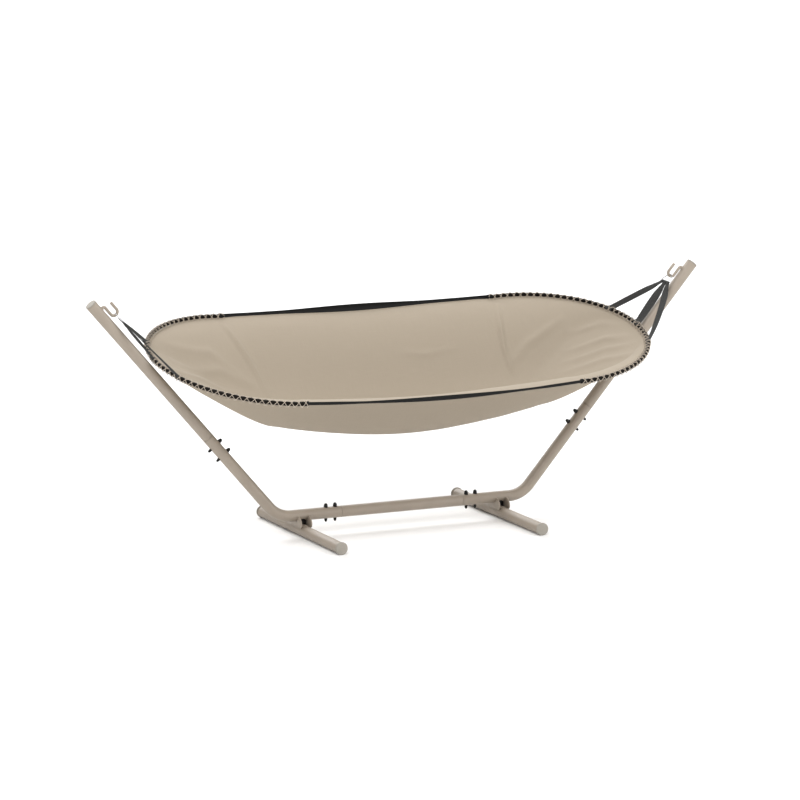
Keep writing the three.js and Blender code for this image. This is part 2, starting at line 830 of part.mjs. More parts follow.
function clothPoint(rimPoint, reach) {
  const x = rimPoint.x * reach;
  const y = rimPoint.y * reach;
  const edge = edgeAt(x);
  const across = edge.y > 0 ? clampUnit(Math.abs(y) / edge.y) : 1;
  const lengthShape = (1 - Math.abs(x / clothTipX) ** clothLengthPower) ** clothEndPower;
  const sag = reach < 1 ? clothDepth * lengthShape * (1 - across ** clothCrossPower) : 0;
  const point = new THREE.Vector3(x, y, reach < 1 ? edge.z : rimPoint.z);
  const endShare = clampUnit((Math.abs(x) - bowStartX / 2) / (bowTipX - bowStartX / 2));
  const angle = Math.atan2(rimPoint.y, Math.abs(rimPoint.x) - bowStartX);
  const fade = Math.sin(Math.PI * reach ** 2) * smooth(endShare) * foldReachShare;
  const fold = Math.abs(rimPoint.x) > bowStartX ? Math.cos(angle * foldsPerEnd * 2) : 0;
  return point.addScaledVector(downInBed, sag + foldDepth * fold * fade);
}

function clothBed() {
  const rim = clothRim();
  const rings = [];
  for (let i = clothRings; i >= 1; i -= 1) {
    rings.push(rim.map((point) => clothPoint(point, i / clothRings)));
  }
  const lower = rings.map((ring) => ring.map((p) => p.clone().addScaledVector(Z_AXIS, -clothThickness)));
  const middle = clothPoint(new THREE.Vector3(0, clothEndHalfWidth, 0), 0);
  const rows = [...[...rings].reverse(), ...lower];
  const { positions, index } = skin(rows, true, false);
  const corners = rim.length;
  const topMiddle = positions.length / 3;
  positions.push(middle.x, middle.y, middle.z);
  positions.push(middle.x, middle.y, middle.z - clothThickness);
  const lastRow = (rows.length - 1) * corners;
  for (let j = 0; j < corners; j += 1) {
    const next = (j + 1) % corners;
    index.push(topMiddle, next, j);
    index.push(topMiddle + 1, lastRow + j, lastRow + next);
  }
  const geometry = new THREE.BufferGeometry();
  geometry.setAttribute("position", new THREE.Float32BufferAttribute(positions, 3));
  geometry.setIndex(index);
  return outward(geometry);
}

// Rings and straps. The ring hangs in the hook and pulls towards the tip of the bow.
const bed = new THREE.Group();
bed.rotation.x = bedRoll;
bed.position.z = bedZ;
bed.updateMatrixWorld(true);
const seatInBed = bed.worldToLocal(hookSeat.clone());

function ringFrame(sign) {
  const seat = new THREE.Vector3(sign * seatInBed.x, seatInBed.y, seatInBed.z);
  const pull = bowPoint(sign, 0).sub(seat).normalize();
  const along = Y_AXIS.clone().addScaledVector(pull, -pull.y).normalize();
  return { seat, pull, along, barCentre: seat.clone().addScaledVector(pull, ringHeight) };
}

const barHalfLength = (strapsPerRing * strapWidthAtRing) / 2 + (strapsPerRing - 1) * strapGap;

function ring(sign) {
  const { seat, pull, along } = ringFrame(sign);
  const apexCentre = ringApexInner - hookRodRadius - seatGap;
  const circles = [
    { along: 0, pull: apexCentre, radius: ringApexInner + ringWireRadius },
    { along: barHalfLength, pull: ringHeight - ringCornerRadius, radius: ringCornerRadius },
    { along: -barHalfLength, pull: ringHeight - ringCornerRadius, radius: ringCornerRadius },
  ];
  const points = Array.from({ length: ringSteps }, (_, i) => {
    const angle = (fullTurn * (i + 0.5)) / ringSteps;
    const [cosine, sine] = [Math.cos(angle), Math.sin(angle)];
    const reach = (circle) => circle.along * cosine + circle.pull * sine + circle.radius;
    const outermost = circles.reduce((best, circle) => (reach(circle) > reach(best) ? circle : best));
    return seat
      .clone()
      .addScaledVector(along, outermost.along + outermost.radius * cosine)
      .addScaledVector(pull, outermost.pull + outermost.radius * sine);
  });
  return rod(points, ringWireRadius, ringSides, { closed: true, normal: along.clone().cross(pull) });
}

// A short sleeve of webbing, sewn round a bar.
function sleeve(centre, direction, barRadius, width) {
  const inner = barRadius + sleeveGap;
  const profile = pipeProfile(inner + strapThickness, inner, -width / 2, width / 2);
  return turned(profile, sleeveSides)
    .applyQuaternion(new THREE.Quaternion().setFromUnitVectors(Y_AXIS, direction))
    .translate(centre.x, centre.y, centre.z);
}

function strap(sign, position) {
  const { along, barCentre } = ringFrame(sign);
  const top = barCentre.addScaledVector(along, position * (strapWidthAtRing + strapGap));
  const share = 1 / 2 + (position * strapSpacingSteps) / bowSteps;
  const { point: foot, direction: footAlong } = onBow(sign, share);
  const run = foot.clone().sub(top);
  const length = run.length();
  run.normalize();
  const reachOff = (barRadius, barAlong) =>
    (barRadius + sleeveGap + strapThickness / 2) / run.clone().cross(barAlong).length();
  const topReach = reachOff(ringWireRadius, along);
  const footReach = reachOff(bowTubeRadius, footAlong);
  const rows = [];
  for (let i = 0; i <= strapSteps; i += 1) {
    const step = i / strapSteps;
    const centre = top
      .clone()
      .addScaledVector(run, THREE.MathUtils.lerp(topReach, length - footReach, step));
    const widthAxis = along.clone().lerp(footAlong, smooth(step)).normalize();
    const faceAxis = run.clone().cross(widthAxis).normalize();
    const half = THREE.MathUtils.lerp(strapWidthAtRing, strapWidthAtBow, step) / 2;
    rows.push(
      [
        [half, 1],
        [-half, 1],
        [-half, -1],
        [half, -1],
      ].map(([width, face]) =>
        centre
          .clone()
          .addScaledVector(widthAxis, width)
          .addScaledVector(faceAxis, (face * strapThickness) / 2),
      ),
    );
  }
  return fromSolid(
    joined(
      loft(rows),
      sleeve(top, along, ringWireRadius, strapWidthAtRing),
      sleeve(foot, footAlong, bowTubeRadius, strapWidthAtBow),
    ),
  );
}

// Assembly.
const group = new THREE.Group();
const centre = named("centre_tube", centreTube(), powderCoat);
centre.position.z = spineZ;
group.add(centre, standHalf("left"), standHalf("right"), bed);
bed.add(
  named("hammock_cloth", clothBed(), cloth),
  named("front_side_band", sideBand(-1), blackWebbing),
  named("back_side_band", sideBand(1), blackWebbing),
);
[
  ["left", -1],
  ["right", 1],
].forEach(([side, sign]) => {
  const path = lacingPath(sign);
  console.log(`${side} lacing least self-gap ${leastSelfGap(path).toFixed(1)} mm`);
  bed.add(
    named(`${side}_end_bow`, endBow(sign), blackTube),
    named(`${side}_lacing`, rod(path, cordRadius, lacingSides, { normal: Z_AXIS }), cord),
    named(`${side}_ring`, ring(sign), brightSteel),
    named(`${side}_front_strap`, strap(sign, -1), greyWebbing),
    named(`${side}_middle_strap`, strap(sign, 0), greyWebbing),
    named(`${side}_back_strap`, strap(sign, 1), greyWebbing),
  );
});

export default group;
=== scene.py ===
import json
from bisect import bisect_right
from math import acos, asin, atan2, copysign, cos, exp, hypot, inf, pi, radians, sin, sqrt, tan, tau

import bmesh
import bpy
from mathutils import Matrix, Vector, noise


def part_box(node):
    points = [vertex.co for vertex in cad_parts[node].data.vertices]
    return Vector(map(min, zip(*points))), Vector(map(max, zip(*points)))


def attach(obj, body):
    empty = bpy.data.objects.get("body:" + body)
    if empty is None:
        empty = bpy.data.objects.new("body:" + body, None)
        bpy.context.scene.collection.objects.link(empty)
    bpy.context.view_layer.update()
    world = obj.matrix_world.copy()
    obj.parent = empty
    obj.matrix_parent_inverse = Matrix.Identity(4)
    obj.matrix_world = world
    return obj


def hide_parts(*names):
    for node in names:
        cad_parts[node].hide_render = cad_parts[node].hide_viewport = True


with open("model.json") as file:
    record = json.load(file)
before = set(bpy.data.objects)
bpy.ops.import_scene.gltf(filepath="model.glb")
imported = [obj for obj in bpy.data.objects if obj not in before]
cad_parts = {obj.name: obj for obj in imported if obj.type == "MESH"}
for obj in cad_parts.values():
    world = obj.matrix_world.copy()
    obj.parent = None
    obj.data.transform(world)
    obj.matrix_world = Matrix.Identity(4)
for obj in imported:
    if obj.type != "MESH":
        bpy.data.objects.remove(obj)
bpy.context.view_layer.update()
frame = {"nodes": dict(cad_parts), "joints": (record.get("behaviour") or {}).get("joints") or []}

# The studio: a wide, pale, plain floor and three broad lamps, the main one high on the left of the
# camera, one behind the bed and a lower one on the right. The camera stands far off with a long
# lens, a little to the left of the front and just above the bed.
camera_turn = radians(-24.79)
camera_raise = radians(10.20)
camera_distance = 21.326
camera_aim = Vector((-0.0051, 0, 0.6462))
camera_lens = 191.75
floor_radius = 90
floor_sides = 96
floor_tone = 0.86
sky_strength = 0.12
lamp_spread = radians(60)
lamps = {
    "front_left": (2.7, Vector((-0.5, -0.5, 0.7))),
    "behind": (3.3, Vector((0, 0.7, 0.7))),
    "low_right": (2.1, Vector((0.72, -0.52, 0.45))),
}

scene = bpy.context.scene
scene.view_settings.view_transform = "Standard"
camera_data = bpy.data.cameras.new("camera")
camera_data.lens = camera_lens
camera_data.clip_end = 2 * floor_radius
camera = bpy.data.objects.new("camera", camera_data)
level_back = Vector((sin(camera_turn), -cos(camera_turn), 0))
camera_back = cos(camera_raise) * level_back + Vector((0, 0, sin(camera_raise)))
camera.location = camera_aim + camera_distance * camera_back
camera.rotation_euler = (-camera_back).to_track_quat("-Z", "Y").to_euler()
scene.collection.objects.link(camera)
scene.camera = camera

for name, (strength, direction) in lamps.items():
    lamp_data = bpy.data.lights.new(name, "SUN")
    lamp_data.energy = strength
    lamp_data.angle = lamp_spread
    lamp = bpy.data.objects.new(name, lamp_data)
    lamp.rotation_euler = direction.to_track_quat("Z", "Y").to_euler()
    scene.collection.objects.link(lamp)

sky = bpy.data.worlds.new("sky")
sky.use_nodes = True
glow = sky.node_tree.nodes["Background"]
glow.inputs["Color"].default_value = (1, 1, 1, 1)
glow.inputs["Strength"].default_value = sky_strength
scene.world = sky


def new_finish(name, colour, roughness, gloss=0.5, **sockets):
    """A material, its node tree and its shader, with these plain settings on the shader."""
    made = bpy.data.materials.new(name)
    made.use_nodes = True
    shader = made.node_tree.nodes["Principled BSDF"]
    shader.inputs["Base Color"].default_value = (*colour, 1)
    shader.inputs["Roughness"].default_value = roughness
    shader.inputs["Specular IOR Level"].default_value = gloss
    for socket, value in sockets.items():
        shader.inputs[socket].default_value = value
    return made, made.node_tree, shader


def linked_piece(name, bm, material):
    """Makes a finished mesh an object in the scene."""
    mesh = bpy.data.meshes.new(name)
    bm.to_mesh(mesh)
    bm.free()
    mesh.materials.append(material)
    piece = bpy.data.objects.new(name, mesh)
    scene.collection.objects.link(piece)
    return piece


floor_paint, _, _ = new_finish("floor paint", (floor_tone,) * 3, 0.9)
floor_mesh = bmesh.new()
bmesh.ops.create_circle(floor_mesh, cap_ends=True, segments=floor_sides, radius=floor_radius)
floor = linked_piece("floor", floor_mesh, floor_paint)

# The stand's tubes: round steel, a straight centre tube, two bent elbows and two straight arms.
# The ends of the straight ones are swaged to slide into the elbows, which leaves a fine dark seam
# at each shoulder. All of it is powder coated in satin taupe, with a faint orange-peel grain.
tube_radius = 0.0285
tube_wall = 0.002
tube_steps = 56
same_place = 1e-6
seam_gap = 0.0028
seam_round = 0.0007
neck_play = 0.0008
neck_radius = tube_radius - tube_wall - neck_play
neck_shown = 0.03
spine_seam_x = 0.335
elbow_x = 0.674
arm_top = Vector((1.650, 0, 1.240))
arm_seam_from_elbow = 0.569
bend_radius = 0.150
bend_steps = 20
arm_cap_thickness = 0.005
coat_dark = (0.273, 0.229, 0.183)
coat_light = (0.297, 0.250, 0.200)
coat_grain_strength = 0.35
rubbed_swing = 0.06
side_turns = {"left": Matrix.Rotation(pi, 4, "Z"), "right": Matrix.Identity(4)}
along_x = Vector((1, 0, 0))
along_y = Vector((0, 1, 0))
upright = Vector((0, 0, 1))

spine_height = sum(corner.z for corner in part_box("centre_tube")) / 2
elbow_corner = Vector((elbow_x, 0, spine_height))
arm_length = (arm_top - elbow_corner).length
arm_along = (arm_top - elbow_corner).normalized()
arm_inward = Vector((-arm_along.z, 0, arm_along.x))
arm_angle = atan2(arm_along.z, arm_along.x)


def wire(tree, kind, inputs, **settings):
    """Adds a shader node. An input is a plain value or another node's output."""
    made = tree.nodes.new("ShaderNode" + kind)
    for name, value in settings.items():
        setattr(made, name, value)
    for socket, value in inputs.items():
        if isinstance(value, bpy.types.NodeSocket):
            tree.links.new(value, made.inputs[socket])
        else:
            made.inputs[socket].default_value = value
    return made


def between(tree, share, low, high, low_at=0.35, high_at=0.65):
    """A colour that goes from low to high as the share passes from low_at to high_at."""
    ramp = wire(tree, "ValToRGB", {"Fac": share})
    for element, colour, place in zip(ramp.color_ramp.elements, (low, high), (low_at, high_at)):
        element.color = (*colour, 1)
        element.position = place
    return ramp.outputs["Color"]


def raise_grain(tree, shader, height, strength, depth):
    """Raises the finish a little where the height is high."""
    raised = wire(tree, "Bump", {"Height": height, "Strength": strength, "Distance": depth})
    tree.links.new(raised.outputs["Normal"], shader.inputs["Normal"])


def grained(name, low, high, roughness, patch, grain, depth, **sockets):
    """A finish with soft patches of two tones and a fine raised grain, both sizes in metres."""
    made, tree, shader = new_finish(name, high, roughness, **sockets)
    place = wire(tree, "TexCoord", {}).outputs["Object"]
    clouds = wire(tree, "TexNoise", {"Vector": place, "Scale": 1 / patch, "Detail": 3}).outputs["Fac"]
    pits = wire(tree, "TexNoise", {"Vector": place, "Scale": 1 / grain, "Detail": 1}).outputs["Fac"]
    tree.links.new(between(tree, clouds, low, high), shader.inputs["Base Color"])
    rough = {"Value": clouds, "To Min": roughness - rubbed_swing, "To Max": roughness + rubbed_swing}
    rubbed = wire(tree, "MapRange", rough).outputs["Result"]
    tree.links.new(rubbed, shader.inputs["Roughness"])
    raise_grain(tree, shader, pits, coat_grain_strength, depth)
    return made


def placed_at(centre, direction):
    """The matrix that puts +Z at the origin on a line through a centre."""
    return Matrix.Translation(centre) @ direction.to_track_quat("Z", "Y").to_matrix().to_4x4()


def moved(bm, matrix):
    bmesh.ops.transform(bm, matrix=matrix, verts=bm.verts)
    return bm


def faced(bm):
    """Turns the faces of closed shells outwards."""
    bmesh.ops.recalc_face_normals(bm, faces=bm.faces)
    return bm


def only(kind, items):
    return [item for item in items if isinstance(item, kind)]


def corners_of(edges):
    return list(dict.fromkeys(corner for edge in edges for corner in edge.verts))


def edges_between(corners):
    inside = set(corners)
    found = [edge for corner in corners for edge in corner.link_edges if edge.other_vert(corner) in inside]
    return list(dict.fromkeys(found))


def open_end(bm, radius, centre, direction, steps):
    """A ring of edges across a direction: the first end of a tube."""
    ring = bmesh.ops.create_circle(bm, segments=steps, radius=radius, matrix=placed_at(centre, direction))
    return edges_between(ring["verts"])


def drawn_on(bm, end, step):
    """Draws a tube's open end on by a straight step, and returns its new end."""
    made = bmesh.ops.extrude_edge_only(bm, edges=end)["geom"]
    corners = only(bmesh.types.BMVert, made)
    bmesh.ops.translate(bm, verts=corners, vec=step)
    return edges_between(corners)


def bent_on(bm, end, centre, axis, angle, steps):
    """Bends a tube's open end on round a centre, and returns its new end."""
    bend = bmesh.ops.spin(bm, geom=corners_of(end) + end, cent=centre, axis=axis, angle=angle, steps=steps)
    return only(bmesh.types.BMEdge, bend["geom_last"])


def round_off(bm, size, over=radians(35)):
    """Rounds every edge sharper than an angle."""
    sharp = [edge for edge in bm.edges if edge.is_manifold and edge.calc_face_angle(0) > over]
    settings = {"affect": "EDGES", "profile": 0.5, "material": -1, "clamp_overlap": True}
    bmesh.ops.bevel(bm, geom=sharp, offset=size, segments=3, **settings)


def turned(profile, centre, direction, steps=tube_steps):
    """A piece turned on a lathe, from (radius, height) corners, its foot at the centre."""
    bm = bmesh.new()
    corners = [bm.verts.new((radius, 0, height)) for radius, height in profile]
    edges = [bm.edges.new(pair) for pair in zip(corners, corners[1:])]
    whole_turn = {"cent": (0, 0, 0), "axis": upright, "angle": tau, "use_merge": True}
    bmesh.ops.spin(bm, geom=corners + edges, steps=steps, **whole_turn)
    bmesh.ops.remove_doubles(bm, verts=bm.verts, dist=same_place)
    return faced(moved(bm, placed_at(centre, direction)))


def fitted(name, bm, material, body, slot, *nodes, place=Matrix(), smooth=radians(40)):
    """Finishes a piece: its place in the frame, and smooth shading up to an angle."""
    piece = linked_piece(name, moved(bm, place), material)
    piece.data.shade_smooth()
    piece.data.set_sharp_from_angle(angle=smooth)
    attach(piece, body)
    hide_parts(*nodes)
    return piece


def swaged_end(shoulder, way):
    """The outline of a tube's swaged end, from its tip to the shoulder."""
    tip = shoulder - way * neck_shown
    return [(0, tip), (neck_radius, tip), (neck_radius, shoulder), (tube_radius, shoulder)]


powder_coat = grained(
    "powder coat", coat_dark, coat_light, roughness=0.5, patch=0.11, grain=0.0012, depth=0.0002
)
coated = (powder_coat, "stand", "powder_coat")

spine_half = spine_seam_x - seam_gap / 2
spine_outline = [*swaged_end(-spine_half, 1), *reversed(swaged_end(spine_half, -1))]
spine_mesh = turned(spine_outline, Vector((0, 0, spine_height)), along_x)
round_off(spine_mesh, seam_round)
fitted("spine_tube", spine_mesh, *coated, "centre_tube")

for side, turn in side_turns.items():
    elbow_mesh = bmesh.new()
    bend_start = elbow_x - bend_radius * tan(arm_angle / 2)
    seam = Vector((spine_seam_x + seam_gap / 2, 0, spine_height))
    end = open_end(elbow_mesh, tube_radius, seam, along_x, tube_steps)
    end = drawn_on(elbow_mesh, end, (bend_start - seam.x) * along_x)
    bend_centre = Vector((bend_start, 0, spine_height + bend_radius))
    end = bent_on(elbow_mesh, end, bend_centre, -along_y, arm_angle, bend_steps)
    straight = arm_seam_from_elbow - seam_gap / 2 - bend_radius * tan(arm_angle / 2)
    drawn_on(elbow_mesh, end, straight * arm_along)
    bmesh.ops.solidify(faced(elbow_mesh), geom=elbow_mesh.faces[:], thickness=tube_wall)
    round_off(elbow_mesh, seam_round, over=radians(60))
    fitted(f"{side}_bent_tube", elbow_mesh, *coated, f"{side}_elbow_tube", place=turn)

    top = arm_length - arm_cap_thickness - seam_gap / 2
    outline = [*swaged_end(arm_seam_from_elbow + seam_gap / 2, 1), (tube_radius, top), (0, top)]
    arm_mesh = turned(outline, elbow_corner, arm_along)
    round_off(arm_mesh, seam_round)
    fitted(f"{side}_arm", arm_mesh, *coated, f"{side}_arm_tube", place=turn)

# The end caps: matt plastic in the colour of the tubes, pushed into their ends. Those on the arms
# are flush with the tube. Those on the feet stand out all round, and their flats carry the stand.
arm_cap_round = 0.003
foot_x = 0.547
foot_length = 1.0
foot_cap_radius = 0.032
foot_cap_thickness = 0.0097
foot_cap_round = 0.004
foot_flat_depth = 0.0005
plug_length = 0.02
plug_play = 0.0006
plug_radius = tube_radius - tube_wall - plug_play
cap_dark = (0.262, 0.240, 0.205)
cap_light = (0.285, 0.262, 0.225)
cap_round_steps = 6
foot_height = foot_cap_radius - foot_flat_depth
ends = {"left": -1, "right": 1}

cap_plastic = grained(
    "cap plastic", cap_dark, cap_light, roughness=0.6, patch=0.05, grain=0.0008, depth=0.00015
)


def spaced(low, high, steps):
    return [low + (high - low) * step / steps for step in range(steps + 1)]


def end_cap(radius, thickness, size, centre, direction):
    """A plug that ends in a cap with a rounded rim and a flat face."""
    plug = [(0, -plug_length), (plug_radius, -plug_length), (plug_radius, 0), (radius, 0)]
    middle, seat = radius - size, thickness - size
    turns = spaced(0, pi / 2, cap_round_steps)
    rim = [(middle + size * cos(turn), seat + size * sin(turn)) for turn in turns]
    return turned([*plug, *rim, (0, thickness)], centre, direction)


for side, turn in side_turns.items():
    cap_seat = elbow_corner + (arm_length - arm_cap_thickness) * arm_along
    cap_mesh = end_cap(tube_radius, arm_cap_thickness, arm_cap_round, cap_seat, arm_along)
    name = f"{side}_arm_end_cap"
    fitted(f"{side}_arm_cap", cap_mesh, cap_plastic, "stand", "end_cap_plastic", name, place=turn)
    for place, direction in (("front", -along_y), ("back", along_y)):
        seat = Vector((ends[side] * foot_x, 0, foot_height))
        seat += (foot_length / 2 - foot_cap_thickness) * direction
        cap_mesh = end_cap(foot_cap_radius, foot_cap_thickness, foot_cap_round, seat, direction)
        whole = cap_mesh.verts[:] + cap_mesh.edges[:] + cap_mesh.faces[:]
        ground = {"plane_co": (0, 0, 0), "plane_no": -upright, "clear_outer": True}
        cut = bmesh.ops.bisect_plane(cap_mesh, geom=whole, dist=same_place, **ground)["geom_cut"]
        bmesh.ops.holes_fill(cap_mesh, edges=only(bmesh.types.BMEdge, cut))
        name = f"{side}_{place}_foot"
        fitted(f"{name}_end", cap_mesh, cap_plastic, "stand", "end_cap_plastic", f"{name}_cap")

# The feet: a straight length of the same tube across each end of the spine, seated by a welded
# saddle. Two pressed plates stand on a half sleeve and hold the spine between their horns.
# A black spacer fills the gap, and one zinc-plated bolt from below holds all of it together.
saddle_gap = 0.0003
sleeve_wall = 0.003
sleeve_half_length = 0.053
plate_thickness = 0.005
plate_half_length = 0.072
plate_bottom = 0.046
plate_bulge = 2.5
plate_widest_share = 0.35
plate_foot_share = 0.4
horn_tip = 0.009
horn_rise = 0.0015
plate_steps = 16
plate_round = 0.0009
sleeve_steps = 28
sleeve_round = 0.0008
weld_radius = 0.0015
weld_sides = 10
weld_pitch = 0.004
weld_swell = 1.18
weld_height = 0.003
spacer_gap = 0.0005
spacer_steps = 8
bolt_head_radius = 0.009
bolt_head_height = 0.0022
bolt_socket_depth = 0.0012
bolt_socket_radius = 0.0025
bolt_socket_mouth = 0.003
bolt_radius = 0.004
bolt_end_above_wall = 0.009
black_low = (0.004, 0.004, 0.004)
black_high = (0.008, 0.007, 0.006)
zinc_low = (0.30, 0.30, 0.31)
zinc_high = (0.42, 0.42, 0.43)

black_plastic = grained(
    "black plastic", black_low, black_high, roughness=0.38, patch=0.02, grain=0.0006, depth=0.0001, gloss=0.2
)
zinc_plate = grained(
    "zinc plate", zinc_low, zinc_high, roughness=0.38, patch=0.004, grain=0.0005, depth=0.00005, Metallic=0.9
)


def saddle_plate(x):
    """One upright plate: straight foot, bulging sides, two horns and the round notch between them."""
    notch = tube_radius + saddle_gap
    horn_height = spine_height + horn_rise
    rise = horn_height - plate_bottom
    reach = plate_half_length - notch - horn_tip
    side = []
    for step in range(plate_steps + 1):
        share = step / plate_steps
        above = (share - plate_widest_share) / (1 - plate_widest_share)
        drawn_in = max(0, above) ** plate_bulge
        if above < 0:
            drawn_in = (1 - plate_foot_share) * (1 - share / plate_widest_share) ** 2
        side.append((notch + horn_tip + reach * (1 - drawn_in), plate_bottom + rise * share))
    arc = [(notch * cos(turn), spine_height + notch * sin(turn)) for turn in spaced(0, -pi, 2 * plate_steps)]
    left = [(-y, z) for y, z in reversed(side)]
    outline = [*side, (notch, horn_height), *arc, (-notch, horn_height), *left]
    bm = bmesh.new()
    face = bm.faces.new([bm.verts.new((x, y, z)) for y, z in outline])
    pressed = bmesh.ops.extrude_face_region(bm, geom=[face])["geom"]
    bmesh.ops.translate(bm, verts=only(bmesh.types.BMVert, pressed), vec=(plate_thickness, 0, 0))
    round_off(faced(bm), plate_round, over=radians(50))
    return bm


def half_sleeve():
    """The sleeve over the foot tube, from one plate's foot to the other's."""
    radius = tube_radius + saddle_gap + sleeve_wall
    low = asin((plate_bottom - foot_height) / radius)
    bm = bmesh.new()
    start = [
        bm.verts.new((radius * cos(low), y, foot_height + radius * sin(low)))
        for y in (-sleeve_half_length, sleeve_half_length)
    ]
    around = {"cent": (0, 0, foot_height), "axis": -along_y, "angle": pi - 2 * low}
    bmesh.ops.spin(bm, geom=[*start, bm.edges.new(start)], steps=sleeve_steps, **around)
    faced(bm)
    if bm.faces[0].normal.dot(bm.faces[0].calc_center_median() - Vector((0, 0, foot_height))) < 0:
        bmesh.ops.reverse_faces(bm, faces=bm.faces[:])
    bmesh.ops.solidify(bm, geom=bm.faces[:], thickness=sleeve_wall)
    round_off(bm, sleeve_round, over=radians(60))
    return bm


def weld_bead(start, length):
    """A rippled bead of weld along Y."""
    bead = bmesh.new()
    end = open_end(bead, weld_radius, start, along_y, weld_sides)
    beads = round(length / weld_pitch)
    for step in range(beads):
        end = drawn_on(bead, end, length / beads * along_y)
        swell = weld_swell if step % 2 else 1 / weld_swell
        corners = corners_of(end)
        middle = sum((corner.co for corner in corners), Vector()) / len(corners)
        bmesh.ops.scale(bead, verts=corners, vec=(swell, 1, swell), space=Matrix.Translation(-middle))
    bmesh.ops.holes_fill(bead, edges=bead.edges[:])
    return faced(bead)


def merged(*meshes):
    """Several shells as one mesh."""
    whole = bmesh.new()
    for part in meshes:
        shell = bpy.data.meshes.new("shell")
        part.to_mesh(shell)
        part.free()
        whole.from_mesh(shell)
        bpy.data.meshes.remove(shell)
    return whole


plate_face = sqrt((tube_radius + saddle_gap) ** 2 - (plate_bottom - foot_height) ** 2)
sleeve_top = foot_height + tube_radius + saddle_gap + sleeve_wall
spacer_radius = plate_face - spacer_gap
for side, sign in ends.items():
    x = sign * foot_x
    move = Matrix.Translation((x, 0, 0))
    half = foot_length / 2 - foot_cap_thickness
    pipe = bmesh.new()
    end = open_end(pipe, tube_radius, Vector((x, -half, foot_height)), along_y, tube_steps)
    drawn_on(pipe, end, 2 * half * along_y)
    bmesh.ops.solidify(faced(pipe), geom=pipe.faces[:], thickness=tube_wall)
    fitted(f"{side}_foot", pipe, *coated, f"{side}_foot_tube")

    weld_x = plate_face + plate_thickness
    weld_starts = [Vector((x, -sleeve_half_length, plate_bottom + weld_height)) for x in (-weld_x, weld_x)]
    welds = [weld_bead(start, 2 * sleeve_half_length) for start in weld_starts]
    plates = [saddle_plate(plate_face), saddle_plate(-plate_face - plate_thickness)]
    saddle = merged(*plates, half_sleeve(), *welds)
    fitted(f"{side}_saddle", saddle, *coated, f"{side}_foot_saddle", place=move)

    radii = spaced(0, spacer_radius, spacer_steps)
    spacer_low = [(radius, sleeve_top) for radius in radii]
    spacer_high = [(radius, spine_height - tube_radius) for radius in reversed(radii)]
    spacer = turned([*spacer_low, *spacer_high], Vector(), upright)
    for corner in spacer.verts:
        if corner.co.z > (sleeve_top + spine_height - tube_radius) / 2:
            corner.co.z = spine_height - sqrt(tube_radius**2 - corner.co.y**2)
        else:
            corner.co.z = foot_height + sqrt((sleeve_top - foot_height) ** 2 - corner.co.x**2)
    name = f"{side}_foot_spacer"
    fitted(f"{side}_spacer", spacer, black_plastic, "stand", "black_plastic", name, place=move)

    head_top = foot_height - tube_radius
    head_low = head_top - bolt_head_height
    bolt_end = spine_height - tube_radius + tube_wall + bolt_end_above_wall
    outline = [(0, head_low + bolt_socket_depth), (bolt_socket_radius, head_low + bolt_socket_depth)]
    outline += [(bolt_socket_mouth, head_low), (bolt_head_radius - bolt_head_height, head_low)]
    outline += [(bolt_head_radius, head_top), (bolt_radius, head_top), (bolt_radius, bolt_end), (0, bolt_end)]
    bolt = turned(outline, Vector(), upright)
    fitted(f"{side}_foot_screw", bolt, zinc_plate, "stand", "zinc_steel", f"{side}_foot_bolt", place=move)

# The joint bolts: two through each seam of the stand. A half-gloss black plastic cover hides each
# head, on the side of the bed, and a smaller black cap nut closes each end. The bolts themselves
# stay inside, as the frame has them, in zinc plate.
arm_bolts_from_seam = {"upper": 0.058, "lower": 0.124}
spine_bolts_from_seam = {"inner": 0.028, "outer": 0.078}
cover_radius = 0.0108
cover_height = 0.020
nut_radius = 0.0082
nut_height = 0.018
flange_width = 0.0008
flange_height = 0.0028
fastener_root = 0.002
dome_power = 2.6
dome_steps = 12
fastener_sides = 32


def fastener_cap(radius, height, place, direction):
    """A bullet-shaped cap with a small flange, sunk a little into the tube's round."""
    foot = place + (tube_radius - fastener_root) * direction
    rim, flange_top = radius + flange_width, fastener_root + flange_height
    outline = [(0, 0), (rim, 0), (rim, flange_top - flange_width), (radius, flange_top)]
    for step in range(1, dome_steps + 1):
        share = sin(pi / 2 * step / dome_steps)
        width = radius * sqrt(max(0, 1 - share**dome_power))
        outline.append((width, flange_top + (height - flange_height) * share))
    return turned(outline, foot, direction, steps=fastener_sides)


for side, turn in side_turns.items():
    places = {
        f"{side}_arm_{name}": (elbow_corner + (arm_seam_from_elbow - distance) * arm_along, arm_inward)
        for name, distance in arm_bolts_from_seam.items()
    }
    for name, distance in spine_bolts_from_seam.items():
        places[f"{side}_spine_{name}"] = (Vector((spine_seam_x + distance, 0, spine_height)), upright)
    for name, (place, inward) in places.items():
        cover = fastener_cap(cover_radius - flange_width, cover_height, place, inward)
        nut = fastener_cap(nut_radius - flange_width, nut_height, place, -inward)
        for mesh, form in ((cover, f"{name}_bolt_cover"), (nut, f"{name}_cap_nut")):
            fitted(f"{form}_moulded", mesh, black_plastic, "stand", "black_plastic", form, place=turn)
        frame["nodes"][f"{name}_bolt"].material_slots[0].material = zinc_plate

